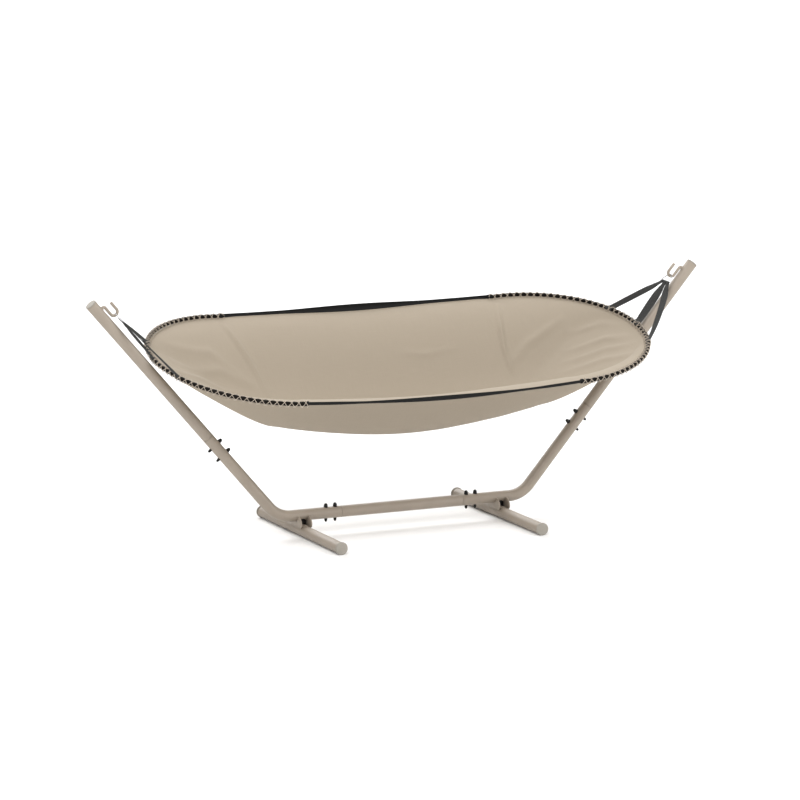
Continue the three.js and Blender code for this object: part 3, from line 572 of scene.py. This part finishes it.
# The hooks: bent round rod, welded on end to the inside of each arm near the top, then turned down
# beside it, round an open bend and up to a plain tip. They are powder coated with the arms.
hook_radius = 0.0076
hook_steps = 20
hook_weld_from_top = 0.058
hook_leg_offset = 0.0425
hook_elbow_radius = 0.009
hook_bend_radius = 0.019
hook_bend_from_top = 0.113
hook_tip_from_top = 0.068
hook_tip_round = 0.0025
hook_elbow_steps = 10
hook_bend_steps = 24
root_weld_outline = [(-0.001, -0.003), (0.0045, -0.003), (0.0045, 0.0002)]
root_weld_outline += [(0.00279, 0.0016), (0.00113, 0.0032), (-0.001, 0.0042), (-0.001, -0.003)]
root_weld_steps = 68
root_weld_ripples = 17
root_weld_ripple = 0.0006


def from_arm_top(distance, offset):
    return arm_top - distance * arm_along + offset * arm_inward


def hook_rod():
    bm = bmesh.new()
    root = from_arm_top(hook_weld_from_top, tube_radius - tube_wall)
    end = open_end(bm, hook_radius, root, arm_inward, hook_steps)
    end = drawn_on(bm, end, (hook_leg_offset - hook_elbow_radius - tube_radius + tube_wall) * arm_inward)
    turn_in = from_arm_top(hook_weld_from_top + hook_elbow_radius, hook_leg_offset - hook_elbow_radius)
    end = bent_on(bm, end, turn_in, -along_y, pi / 2, hook_elbow_steps)
    leg = hook_bend_from_top - hook_weld_from_top - hook_elbow_radius
    end = drawn_on(bm, end, -leg * arm_along)
    bend_centre = from_arm_top(hook_bend_from_top, hook_leg_offset + hook_bend_radius)
    end = bent_on(bm, end, bend_centre, along_y, pi, hook_bend_steps)
    drawn_on(bm, end, (hook_bend_from_top - hook_tip_from_top) * arm_along)
    bmesh.ops.holes_fill(bm, edges=bm.edges[:])
    round_off(faced(bm), hook_tip_round, over=radians(60))
    return bm


def hook_weld():
    """A rippled bead round the root of the rod, which follows the round of the tube."""
    outline = [(hook_radius + out, height) for out, height in root_weld_outline]
    bead = turned(outline, Vector(), upright, steps=root_weld_steps)
    for corner in bead.verts:
        angle = atan2(corner.co.y, corner.co.x)
        ripple = 1 + root_weld_ripple / hook_radius * sin(root_weld_ripples * angle)
        corner.co.x *= ripple
        corner.co.y *= ripple
        corner.co.z += sqrt(tube_radius**2 - corner.co.y**2) - tube_radius
    place = Matrix.Translation(from_arm_top(hook_weld_from_top, tube_radius))
    across = Matrix((arm_along, along_y, arm_inward)).transposed().to_4x4()
    return faced(moved(bead, place @ across))


for side, turn in side_turns.items():
    hook = merged(hook_rod(), hook_weld())
    fitted(f"{side}_rod_hook", hook, *coated, f"{side}_hook", place=turn)

# The end bows: black painted steel tube, each bent flat to half an oval and tilted up to its tip.
# They hold the cloth open. The bed hangs rolled to the front, below the line through both hooks.
bed_roll = radians(14.4)
bed_drop = 0.272
bed_to_arm = 0.015
bow_radius = 0.010
bow_start_x = 0.766
bow_half_width = 0.550
bow_tip_rise = 0.037
bow_points = 96
sock_length = 0.030
lacing_reach = 0.0179
paint_low = (0.003, 0.002, 0.001)
paint_high = (0.006, 0.004, 0.0025)

bed_height = frame["joints"][0]["pos_m"][2] - bed_drop
bed_place = Matrix.Translation((0, 0, bed_height)) @ Matrix.Rotation(bed_roll, 4, "X")
bow_tip_height = bed_height + bow_tip_rise * cos(bed_roll)
arm_middle_x = elbow_x + (bow_tip_height - spine_height) / tan(arm_angle)
bow_tip_x = arm_middle_x - tube_radius / sin(arm_angle) - bed_to_arm - lacing_reach


def mixed(low, high, share):
    return low + (high - low) * share


def bow_point(sign, angle):
    """A point on the axis of a bow, in the bed's frame; the angle is 0 at the tip."""
    cosine = cos(angle)
    x = sign * mixed(bow_start_x, bow_tip_x, cosine)
    return Vector((x, bow_half_width * sin(angle), bow_tip_rise * cosine))


def drawn_tube(points, radius, closed=False, resolution=4):
    """A round tube through points, with its length along U and its round along V."""
    path = bpy.data.curves.new("path", "CURVE")
    path.dimensions = "3D"
    path.bevel_depth = radius
    path.bevel_resolution = resolution
    path.use_fill_caps = not closed
    line = path.splines.new("POLY")
    line.points.add(len(points) - 1)
    line.use_cyclic_u = closed
    for spot, point in zip(line.points, points):
        spot.co = (*point, 1)
    holder = bpy.data.objects.new("path", path)
    scene.collection.objects.link(holder)
    shown = holder.evaluated_get(bpy.context.evaluated_depsgraph_get())
    mesh = bpy.data.meshes.new_from_object(shown)
    bm = bmesh.new()
    bm.from_mesh(mesh)
    bpy.data.objects.remove(holder)
    bpy.data.curves.remove(path)
    bpy.data.meshes.remove(mesh)
    bmesh.ops.remove_doubles(bm, verts=bm.verts, dist=same_place)
    return faced(bm)


black_paint = grained(
    "black paint", paint_low, paint_high, roughness=0.5, patch=0.03, grain=0.0009, depth=0.0001, gloss=0.08
)

for side, sign in ends.items():
    line = [bow_point(sign, angle) for angle in spaced(-pi / 2, pi / 2, bow_points)]
    tail = Vector((sign * (bow_start_x - sock_length), bow_half_width, 0))
    bow = drawn_tube([tail - 2 * tail.y * along_y, *line, tail], bow_radius, resolution=10)
    name = f"{side}_end_bow"
    fitted(f"{side}_bow", bow, black_paint, "hammock", "black_tube", name, place=bed_place)

# The side bands: black webbing from bow to bow along each side, wider in the middle, which carry the
# sides of the cloth. A sewn sock at each end is pulled over the end of the bow.
band_end_x = bow_start_x - sock_length
band_thickness = 0.0025
band_heights = {"front": (0.019, 0.025), "back": (0.021, 0.020)}
band_height_middle = 0.039
band_waist_share = 0.62
band_sag = 0.017
band_bulge = 0.023
band_lean = radians(32)
band_steps = (140, 8)
band_cup = 0.22
webbing_gap = 0.0005
sock_wall = 0.0012
sock_end = 0.0033
sock_end_round = 0.005
sock_seam = 0.0006
sock_seam_span = (0.012, 0.015, 0.018)
sock_sides = 32
webbing_round_share = 0.35
weave_pitch = 0.0018
twill_pitch = 0.00252
fuzz_scale = 160
# The black thread in a shaded tone and a lit tone. The lit one is a painted highlight on the weave's crests
# and stitches.
black_thread = (0.005, 0.005, 0.005)
black_thread_lit = (0.012, 0.012, 0.011)
stitch_pitch = 0.0045
stitch_from_edge = 0.0028
stitch_width = 0.0008


def clamped(share):
    return min(1, max(0, share))


def eased(share):
    share = clamped(share)
    return share * share * (3 - 2 * share)


def band_height(share, side="back"):
    """The height of a band, from its middle to its end."""
    waist, end = band_heights[side]
    if share < band_waist_share:
        bell = 1 - (share / band_waist_share) ** 2
        return mixed(waist, band_height_middle, bell * bell)
    return mixed(waist, end, eased(2 * (share - band_waist_share) / (1 - band_waist_share)))


def band_centre(x, sign):
    hang = 1 - clamped(abs(x) / band_end_x) ** 2
    return Vector((x, sign * (bow_half_width + band_bulge * hang), -band_sag * hang))


def strip(name, place, steps, size, thickness, material, slot, node):
    """A strip of webbing: place(along, across) puts its points, with both from 0 to 1.
    Its UV map runs in metres, from the start of the strip and from its middle."""
    bm = bmesh.new()
    bmesh.ops.create_grid(bm, x_segments=steps[0], y_segments=steps[1], size=1)
    layer = bm.loops.layers.uv.new("woven")
    for face in bm.faces:
        for loop in face.loops:
            flat = loop.vert.co
            loop[layer].uv = ((flat.x + 1) / 2 * size[0], flat.y / 2 * size[1])
    for corner in bm.verts:
        corner.co = place((corner.co.x + 1) / 2, (corner.co.y + 1) / 2)
    over = radians(60)
    piece = fitted(name, bm, material, "hammock", slot, node, place=bed_place, smooth=over)
    wall = piece.modifiers.new("wall", "SOLIDIFY")
    wall.thickness = thickness
    wall.offset = 0
    edge = piece.modifiers.new("edge", "BEVEL")
    edge.width = thickness * webbing_round_share
    edge.segments = 2
    edge.limit_method = "ANGLE"
    edge.angle_limit = radians(50)


def wave(tree, place, pitch, direction):
    """A sine of 0 to 1 along one axis, whose period is a length in metres."""
    made = wire(tree, "TexWave", {"Vector": place, "Scale": pi / 10 / pitch}, wave_profile="SIN")
    made.bands_direction = direction
    return made.outputs["Fac"]


def maths(tree, operation, *values):
    made = wire(tree, "Math", dict(enumerate(values)), operation=operation)
    return made.outputs["Value"]


def webbing(name, low, high, half_width):
    """Flat-woven webbing: ribs across it, a twill along it, and a row of stitches beside each edge. The
    crests of the weave are painted in the lit thread tone as a painted highlight, and so are the stitches.
    """
    made, tree, shader = new_finish(name, high, 0.8, gloss=0.2)
    place = wire(tree, "UVMap", {}, uv_map="woven").outputs["UV"]
    ribs = wave(tree, place, weave_pitch, "X")
    cords = wave(tree, place, twill_pitch, "Y")
    fuzz = wire(tree, "TexNoise", {"Vector": place, "Scale": fuzz_scale, "Detail": 4}).outputs["Fac"]
    # Painted highlight: where the ribs and the twill crest, thinned by noise, the colour goes from the shaded
    # thread tone to the lit one.
    crest_highlight = maths(tree, "MULTIPLY", maths(tree, "MULTIPLY", ribs, cords), fuzz)
    tone = between(tree, crest_highlight, low, high, 0.02, 0.45)
    off = maths(tree, "ABSOLUTE", wire(tree, "SeparateXYZ", {"Vector": place}).outputs["Y"])
    beside = maths(tree, "ABSOLUTE", maths(tree, "SUBTRACT", off, half_width - stitch_from_edge))
    on_line = maths(tree, "LESS_THAN", beside, stitch_width / 2)
    shown = maths(tree, "GREATER_THAN", wave(tree, place, stitch_pitch, "X"), 0.25)
    stitches = maths(tree, "MULTIPLY", on_line, shown)
    # The stitches are painted in the lit thread tone too, a painted highlight.
    sewn = wire(tree, "Mix", {0: stitches, 6: tone, 7: (*high, 1)}, data_type="RGBA")
    tree.links.new(sewn.outputs[2], shader.inputs["Base Color"])
    raise_grain(tree, shader, maths(tree, "ADD", crest_highlight, stitches), 0.5, 0.0005)
    return made


black_webbing = webbing("black webbing", black_thread, black_thread_lit, band_heights["back"][0] / 2)

for place_name, sign in (("front", -1), ("back", 1)):
    up = Vector((0, sign * sin(band_lean), cos(band_lean)))
    out = Vector((0, sign * cos(band_lean), -sin(band_lean)))

    def on_band(along, across):
        x = mixed(-band_end_x, band_end_x, along)
        height = band_height(abs(x) / band_end_x, place_name)
        bulge = band_cup * height * (1 - (2 * across - 1) ** 2)
        return band_centre(x, sign) + (across - 0.5) * height * up + bulge * out

    name = f"{place_name}_side_band"
    size = (2 * band_end_x, band_heights[place_name][0])
    strip(
        f"{place_name}_band", on_band, band_steps, size, band_thickness, black_webbing, "black_webbing", name
    )
    for side, end in ends.items():
        sock_outer = bow_radius + webbing_gap + sock_wall
        seat = Vector((end * (band_end_x - sock_end), sign * bow_half_width, 0))
        turns = (0.4, 0.8, 1.2, pi / 2)
        outline = [(sock_outer * sin(turn), sock_end_round * (1 - cos(turn))) for turn in turns]
        outline += zip((sock_outer, sock_outer + sock_seam, sock_outer), sock_seam_span)
        outline += [(sock_outer, sock_length + sock_end), (bow_radius, sock_length + sock_end)]
        sock = turned([(0, 0), *outline], seat, end * along_x, steps=sock_sides)
        sock_name = f"{side}_{place_name}_sock"
        fitted(sock_name, sock, black_webbing, "hammock", "black_webbing", name, place=bed_place)

# The cloth: one sheet of plain-woven beige cloth, cut to a long oval and hemmed over a cord all
# round. It hangs from the lacing and the bands like a tub, with sloping ends, steep sides, a crease
# at each corner and soft folds, each given as a height, a width and points of its line.
cloth_thickness = 0.0012
cloth_depth = 0.374
cloth_depth_at_bands = 0.815
cloth_band_x = 0.73
cloth_end_slope = 0.535
cloth_end_power = 0.900
cloth_valley = 0.014
cloth_edge_drop = 0.0096
cloth_edge_inset = 0.0096
cloth_corner_share = 0.1
cloth_back_lip = 1.6
cloth_front_lip = 2.03
cloth_front_lip_swing = 0.10
cloth_front_lip_wave = 3.2
cloth_front_lip_start = -0.09
cloth_ripple = 0.0010
cloth_ripple_size = 0.11
cloth_steps = (320, 136)
cloth_steps_bunch = 0.5
cloth_crease_share = 0.6
cloth_rim_fade = 12
crease_reach = 3
hem_radius = 0.003
hem_points = 420
thread_pitch = 0.0011
beige_low = (0.300, 0.254, 0.196)
beige_high = (0.338, 0.286, 0.221)
creases = [
    (0.011, 0.012, [(-0.765, 0.48), (-0.721, 0.372), (-0.674, 0.285), (-0.642, 0.2)]),
    (0.014, 0.012, [(0.765, 0.48), (0.732, 0.371), (0.715, 0.304), (0.715, 0.2)]),
    (0.009, 0.015, [(1.06, 0.318), (0.965, 0.308), (0.84, 0.285), (0.715, 0.23)]),
    (0.004, 0.01, [(0.148, 0.344), (0.283, 0.326), (0.454, 0.331)]),
    (0.007, 0.018, [(-1.14, 0.3), (-0.897, 0.334), (-0.742, 0.25)]),
    (0.008, 0.018, [(-1.15, 0.2), (-0.871, 0.269), (-0.677, 0.218)]),
    (0.009, 0.016, [(-1.2, 0.08), (-1.0, 0.175), (-0.78, 0.18)]),
    (0.008, 0.016, [(-1.15, -0.06), (-0.96, 0.08), (-0.76, 0.12)]),
    (0.009, 0.016, [(1.311, -0.097), (1.182, 0.074), (1.003, 0.171)]),
    (0.009, 0.015, [(1.32, 0.023), (1.209, 0.186), (1.07, 0.251)]),
    (0.008, 0.018, [(1.241, -0.257), (1.109, -0.071), (0.918, 0.057)]),
    (0.008, 0.015, [(1.29, -0.17), (1.15, 0.0), (0.96, 0.11)]),
]
cloth_tip_x = bow_tip_x - cloth_edge_inset
cloth_end_half_width = bow_half_width - cloth_edge_inset
down_in_bed = Vector((0, -sin(bed_roll), -cos(bed_roll)))


def side_edge(x):
    """The back edge of the cloth between the bows, under the band."""
    share = abs(x) / band_end_x
    half = band_height(clamped(share)) / 2
    centre = band_centre(x, 1)
    corner = eased(1 - (1 - share) / cloth_corner_share)
    y = mixed(centre.y - half * sin(band_lean), cloth_end_half_width, corner)
    z = mixed(centre.z - half * cos(band_lean), -cloth_edge_drop, corner)
    return Vector((x, y, z))


def end_edge(angle):
    """The edge of the cloth inside the right bow."""
    cosine = cos(angle)
    x = mixed(bow_start_x, cloth_tip_x, cosine)
    return Vector((x, cloth_end_half_width * sin(angle), bow_tip_rise * cosine - cloth_edge_drop))


def edge_at(x):
    if abs(x) < bow_start_x:
        return side_edge(x)
    return end_edge(acos(clamped((abs(x) - bow_start_x) / (cloth_tip_x - bow_start_x))))


end_arc = pi / 2 * (cloth_tip_x - bow_start_x + cloth_end_half_width) / 2
quarter_rim = end_arc + bow_start_x


def rim_point(turn):
    """A point of the rim, for a turn of 0 to 1 round it from the right tip, back side first."""
    quarter, share = divmod(4 * (turn % 1), 1)
    run = quarter_rim * (1 - share if quarter % 2 else share)
    if run < end_arc:
        point = end_edge(pi / 2 * run / end_arc)
    else:
        point = side_edge(bow_start_x - (run - end_arc))
    x = -point.x if quarter in (1, 2) else point.x
    return Vector((x, copysign(point.y, 1.5 - quarter), point.z))


def off_line(x, y, points):
    """How far a place is from a line of points, and how far along it, from 0 to 1."""
    best = (inf, 0)
    for index, (a, b) in enumerate(zip(points, points[1:])):
        run = Vector(b) - Vector(a)
        share = clamped((Vector((x, y)) - Vector(a)).dot(run) / run.length_squared)
        off = (Vector((x, y)) - Vector(a) - share * run).length
        best = min(best, (off, (index + share) / (len(points) - 1)))
    return best


def creased(x, y):
    """How far the cloth's folds lift it."""
    lift = cloth_ripple * noise.noise(Vector((x, y, 0)) / cloth_ripple_size)
    for height, width, points in creases:
        sides = [point[0] for point in points]
        if not min(sides) - crease_reach * width < x < max(sides) + crease_reach * width:
            continue
        off, along = off_line(x, y, points)
        lift += height * exp(-((off / width) ** 2)) * sin(pi * (0.1 + 0.8 * along))
    return lift


def cloth_sag(x, y, across):
    """How far the cloth hangs below its edge: the lesser of what its side and its end allow."""
    reach = 1 - across
    lip = cloth_back_lip
    if y < 0:
        along = sin(cloth_front_lip_wave * (x - cloth_front_lip_start))
        lip = cloth_front_lip + cloth_front_lip_swing * along
    deepest = cloth_depth * (1 - (1 - cloth_depth_at_bands) * (x / cloth_band_x) ** 2)
    side = deepest * reach**lip / (reach**lip + across**2)
    end_length = cloth_tip_x - bow_start_x
    round_off_y = clamped(1 - (y / (cloth_end_half_width + cloth_edge_drop)) ** 2)
    run = max(0, bow_start_x + end_length * sqrt(round_off_y) - abs(x))
    end = cloth_end_slope * end_length * (run / end_length) ** cloth_end_power
    share = clamped(0.5 + 0.5 * (end - side) / cloth_valley)
    sag = mixed(end, side, share) - cloth_valley * share * (1 - share)
    return max(0, sag)


def on_cloth(x, y):
    edge = edge_at(x)
    across = clamped(abs(y) / edge.y) if edge.y > 0.001 else 1
    return Vector((x, y, edge.z)) + cloth_sag(x, y, across) * down_in_bed


def gone_along(points):
    """How far each point is along a line, from its start."""
    gone = [0]
    for a, b in zip(points, points[1:]):
        gone.append(gone[-1] + (b - a).length)
    return gone


def run_across(x, y, steps=6):
    """How far a point is from the cloth's middle line, over its surface."""
    spots = [on_cloth(x, place) for place in spaced(0, y, steps)]
    return copysign(gone_along(spots)[-1], y)


def bunched(share):
    """Moves the cloth's columns closer together where its corner creases are."""
    swell = cloth_steps_bunch * cloth_crease_share / pi
    length = 1 - swell * sin(pi * (1 - cloth_crease_share) / cloth_crease_share)
    return (share - swell * sin(pi * (share - cloth_crease_share) / cloth_crease_share)) / length


beige, tree, shader = new_finish("beige cloth", beige_high, 0.9, gloss=0.3, **{"Sheen Weight": 0.05})
place = wire(tree, "UVMap", {}, uv_map="woven").outputs["UV"]
weave = maths(tree, "MULTIPLY", *(wave(tree, place, thread_pitch, way) for way in ("X", "Y")))
slubs = []
for stretch in ((12, 900, 1), (900, 12, 1)):
    drawn = wire(tree, "Mapping", {"Vector": place, "Scale": stretch}).outputs["Vector"]
    slubs.append(wire(tree, "TexNoise", {"Vector": drawn, "Scale": 1, "Detail": 2}).outputs["Fac"])
threads = maths(tree, "MULTIPLY", maths(tree, "ADD", *slubs), 0.5)
tree.links.new(between(tree, threads, beige_low, beige_high, 0.3, 0.7), shader.inputs["Base Color"])
raise_grain(tree, shader, maths(tree, "ADD", weave, threads), 0.3, 0.0003)

cloth_mesh = bmesh.new()
bmesh.ops.create_grid(cloth_mesh, x_segments=cloth_steps[0], y_segments=cloth_steps[1], size=1)
flat_place = {}
lifts = {}
for corner in cloth_mesh.verts:
    a, b = bunched(corner.co.x), corner.co.y
    round_x = a * sqrt(1 - b * b / 2)
    round_y = b * sqrt(1 - a * a / 2)
    reach = hypot(round_x, round_y)
    rim = rim_point(atan2(round_y, round_x) / tau)
    x = rim.x * reach
    y = rim.y * reach
    flat_place[corner.index] = (x, run_across(x, y))
    corner.co = on_cloth(x, y) if reach < 0.999 else rim
    lifts[corner.index] = creased(x, y) * clamped(cloth_rim_fade * (1 - reach))
cloth_mesh.normal_update()
for corner in cloth_mesh.verts:
    corner.co += lifts[corner.index] * corner.normal
woven = cloth_mesh.loops.layers.uv.new("woven")
for face in cloth_mesh.faces:
    for loop in face.loops:
        loop[woven].uv = flat_place[loop.vert.index]
on_hammock = ("hammock", "hammock_cloth", "hammock_cloth")
cloth = fitted("cloth_bed", cloth_mesh, beige, *on_hammock, place=bed_place)
ply = cloth.modifiers.new("ply", "SOLIDIFY")
ply.thickness = cloth_thickness
ply.offset = -1

hem_line = [rim_point(step / hem_points) for step in range(hem_points)]
hem = drawn_tube(hem_line, hem_radius, closed=True)
hem = fitted("cloth_hem", hem, beige, *on_hammock, place=bed_place)

# The rings: bright plated steel wire, bent to a triangle with a narrow top that hangs in the hook
# and a straight bar below that takes the three straps.
straps_per_ring = 3
strap_width_at_ring = 0.019
strap_gap = 0.0006
ring_wire = 0.00275
ring_height = 0.036
ring_apex_inner = 0.011
ring_corner = 0.007
ring_points = 120
seat_gap = 0.0003
steel_low = (0.50, 0.50, 0.51)
steel_high = (0.62, 0.62, 0.63)

bright_steel = grained(
    "bright steel", steel_low, steel_high, roughness=0.24, patch=0.006, grain=0.0004, depth=0.00002,
    Metallic=1.0,
)

hook_seat = from_arm_top(hook_bend_from_top + hook_bend_radius, hook_leg_offset + hook_bend_radius)
seat_in_bed = bed_place.inverted() @ hook_seat
bar_half_length = straps_per_ring * strap_width_at_ring / 2 + (straps_per_ring - 1) * strap_gap


def ring_frame(sign):
    """The ring's seat in the hook, the direction it pulls in, and the direction of its bar."""
    seat = Vector((sign * seat_in_bed.x, seat_in_bed.y, seat_in_bed.z))
    pull = (bow_point(sign, 0) - seat).normalized()
    along = (along_y - pull.y * pull).normalized()
    return seat, pull, along


def ring_line(sign):
    seat, pull, along = ring_frame(sign)
    circles = (
        (0, ring_apex_inner - hook_radius - seat_gap, ring_apex_inner + ring_wire),
        (bar_half_length, ring_height - ring_corner, ring_corner),
        (-bar_half_length, ring_height - ring_corner, ring_corner),
    )
    points = []
    for step in range(ring_points):
        angle = tau * (step + 0.5) / ring_points
        cosine, sine = cos(angle), sin(angle)
        aside, down, radius = max(circles, key=lambda c: c[0] * cosine + c[1] * sine + c[2])
        points.append(seat + (aside + radius * cosine) * along + (down + radius * sine) * pull)
    return points


for side, sign in ends.items():
    ring = drawn_tube(ring_line(sign), ring_wire, closed=True, resolution=6)
    name = f"{side}_ring"
    fitted(f"{side}_wire_ring", ring, bright_steel, "hammock", "bright_steel", name, place=bed_place)

# The straps: dark grey webbing, three at each end. Each is folded round the bar of the ring and
# round the bow, under the lacing, and both folds are sewn down on the strap itself.
strap_loops = {"front": -1, "middle": 0, "back": 1}
strap_width_at_bow = 0.040
strap_thickness = 0.002
strap_bow_angle = pi * 3 / 23
strap_steps = (150, 8)
strap_lap = 0.050
strap_close = 0.026
strap_spread = 0.09
strap_lap_points = 12
strap_main_points = 40
strap_fold_points = 16
strap_turns = {"left": (0, -18, 8), "right": (-62, -40, -30)}
strap_slack = {"right_front_strap": 0.012}
# The grey thread in a shaded tone and a lit tone. The lit one is a painted highlight on the weave's crests
# and stitches.
grey_thread = (0.028, 0.028, 0.027)
grey_thread_lit = (0.075, 0.075, 0.073)

grey_webbing = webbing("grey webbing", grey_thread, grey_thread_lit, strap_width_at_bow / 2)


def found_at(gone, distance):
    """The step of a line that holds a distance, and how far along that step it is, from 0 to 1."""
    index = min(max(bisect_right(gone, distance) - 1, 0), len(gone) - 2)
    return index, clamped((distance - gone[index]) / (gone[index + 1] - gone[index]))


def strap_path(sign, position, twist, slack):
    """Places along a strap, from one sewn end to the other: point, width direction and width."""
    seat, pull, along = ring_frame(sign)
    top = seat + ring_height * pull + position * (strap_width_at_ring + strap_gap) * along
    angle = position * strap_bow_angle
    foot = bow_point(sign, angle)
    foot_along = (bow_point(sign, angle + 0.01) - bow_point(sign, angle - 0.01)).normalized()
    length = (foot - top).length
    run = (foot - top).normalized()
    ring_off = ring_wire + webbing_gap + strap_thickness / 2
    bow_off = bow_radius + webbing_gap + strap_thickness / 2

    def spot(distance, face):
        share = distance / length
        turn = Matrix.Rotation(radians(twist) * sin(pi * share), 3, run)
        width_way = turn @ along.lerp(foot_along, eased(share)).normalized()
        normal = run.cross(width_way).normalized()
        near_ring = eased(1 - distance / strap_close)
        near_bow = eased(1 - (length - distance) / strap_close)
        flat = strap_thickness / 2
        off = flat + (ring_off - flat) * near_ring + (bow_off - flat) * near_bow
        width = mixed(strap_width_at_ring, strap_width_at_bow, eased(distance / strap_spread))
        sway = slack * sin(pi * share) * along_x
        return top + distance * run + face * off * normal + sway, width_way, width

    def fold(centre, width_way, off, width, way):
        normal = run.cross(width_way).normalized()
        ahead = width_way.cross(normal).normalized()
        turns = spaced(0, pi, strap_fold_points)
        spots = [centre + off * way * (cos(turn) * normal + sin(turn) * ahead) for turn in turns]
        return [(spot, width_way, width) for spot in spots]

    lap = spaced(strap_lap, 0, strap_lap_points)[:-1]
    main = spaced(0, length, strap_main_points)[1:-1]
    path = [spot(distance, -1) for distance in lap]
    path += fold(top, along, ring_off, strap_width_at_ring, -1)
    path += [spot(distance, 1) for distance in main]
    path += fold(foot, foot_along, bow_off, strap_width_at_bow, 1)
    path += [spot(length - distance, -1) for distance in reversed(lap)]
    return path


for side, sign in ends.items():
    for (place_name, position), twist in zip(strap_loops.items(), strap_turns[side]):
        name = f"{side}_{place_name}_strap"
        path = strap_path(sign, position, twist, strap_slack.get(name, 0))
        gone = gone_along([spot for spot, _, _ in path])

        def on_strap(along, across):
            index, share = found_at(gone, along * gone[-1])
            a, b = path[index], path[index + 1]
            width = mixed(a[2], b[2], share)
            return a[0].lerp(b[0], share) + (across - 0.5) * width * a[1].lerp(b[1], share).normalized()

        size = (gone[-1], strap_width_at_bow)
        piece = f"{side}_{place_name}_webbing"
        strip(piece, on_strap, strap_steps, size, strap_thickness, grey_webbing, "grey_webbing", name)

# The lacing: beige cord, laced crosswise round each bow and through the cloth under its hem. Four
# runs wind round the tube, over the socks and straps, two each way, and cross at four places a turn.
lacing_radius = 0.0014
lacing_pitch = 0.072
lacing_outer = bow_radius + lacing_radius
lacing_inner = 0.0196
lacing_side = 0.0138
lacing_hem_angle = radians(-45)
lacing_cross_front = radians(45)
lacing_cross_back = radians(30)
lacing_points_per_turn = 20
bow_run_steps = 2000
lacing_from_end = 0.004
lacing_ramp = 0.010
cord_low = (0.30, 0.245, 0.19)
cord_high = (0.52, 0.44, 0.35)

cord_finish, tree, shader = new_finish("beige cord", cord_high, 0.85, **{"Sheen Weight": 0.3})
place = wire(tree, "UVMap", {}, uv_map="UVMap").outputs["UV"]
twist = wire(tree, "Mapping", {"Vector": place, "Scale": (600, 3, 1)}).outputs["Vector"]
plies = wire(tree, "TexWave", {"Vector": twist, "Scale": 0.31}, bands_direction="DIAGONAL").outputs["Fac"]
tree.links.new(between(tree, plies, cord_low, cord_high, 0.1, 0.8), shader.inputs["Base Color"])
raise_grain(tree, shader, plies, 0.5, 0.0004)


def cord_run(sign, line, gone, raised, way, start):
    """A run of cord round a bow: it winds in an oval that reaches in and down to the cloth's hem,
    and rises over the runs that go the other way, the socks and the straps."""
    run = gone[-1] - 2 * lacing_from_end
    points = round(run / lacing_pitch * lacing_points_per_turn)
    path = []
    for step in range(points + 1):
        distance = lacing_from_end + run * step / points
        index, share = found_at(gone, distance)
        along = (line[index + 1] - line[index]).normalized()
        inward = sign * upright.cross(along).normalized()
        up = sign * along.cross(inward)
        cross = mixed(lacing_cross_front, lacing_cross_back, distance / gone[-1])
        turn = cross + start + way * tau * (distance - gone[-1] / 2) / lacing_pitch
        lift = max(0, way * cos(2 * (turn - cross))) ** 3 * 2 * lacing_radius
        for place, reach, height in raised:
            lift += height * eased(1 - (abs(distance - place) - reach) / lacing_ramp)
        bent = turn - lacing_hem_angle
        to_hem = cos(lacing_hem_angle) * inward + sin(lacing_hem_angle) * up
        beside = cos(lacing_hem_angle) * up - sin(lacing_hem_angle) * inward
        length = (lacing_inner + lacing_outer) / 2 + lift
        middle = (lacing_inner - lacing_outer) / 2
        spot = line[index].lerp(line[index + 1], share) + (middle + length * cos(bent)) * to_hem
        path.append(spot + (lacing_side + lift) * sin(bent) * beside)
    return drawn_tube(path, lacing_radius, resolution=1)


for side, sign in ends.items():
    stub = Vector((sign * (bow_start_x - sock_length), bow_half_width, 0))
    line = [bow_point(sign, turn) for turn in spaced(-pi / 2, pi / 2, bow_run_steps)]
    line = [stub - 2 * stub.y * along_y, *line, stub]
    gone = gone_along(line)
    raised = [(end, sock_length, sock_wall + webbing_gap) for end in (0, gone[-1])]
    for position in strap_loops.values():
        place = gone[1 + round(bow_run_steps * (0.5 + position * strap_bow_angle / pi))]
        raised.append((place, strap_width_at_bow / 2, strap_thickness + webbing_gap))
    runs = [cord_run(sign, line, gone, raised, way, start) for way in (1, -1) for start in (0, pi)]
    name = f"{side}_lacing"
    fitted(f"{side}_cord_lacing", merged(*runs), cord_finish, "hammock", "lacing_cord", name, place=bed_place)
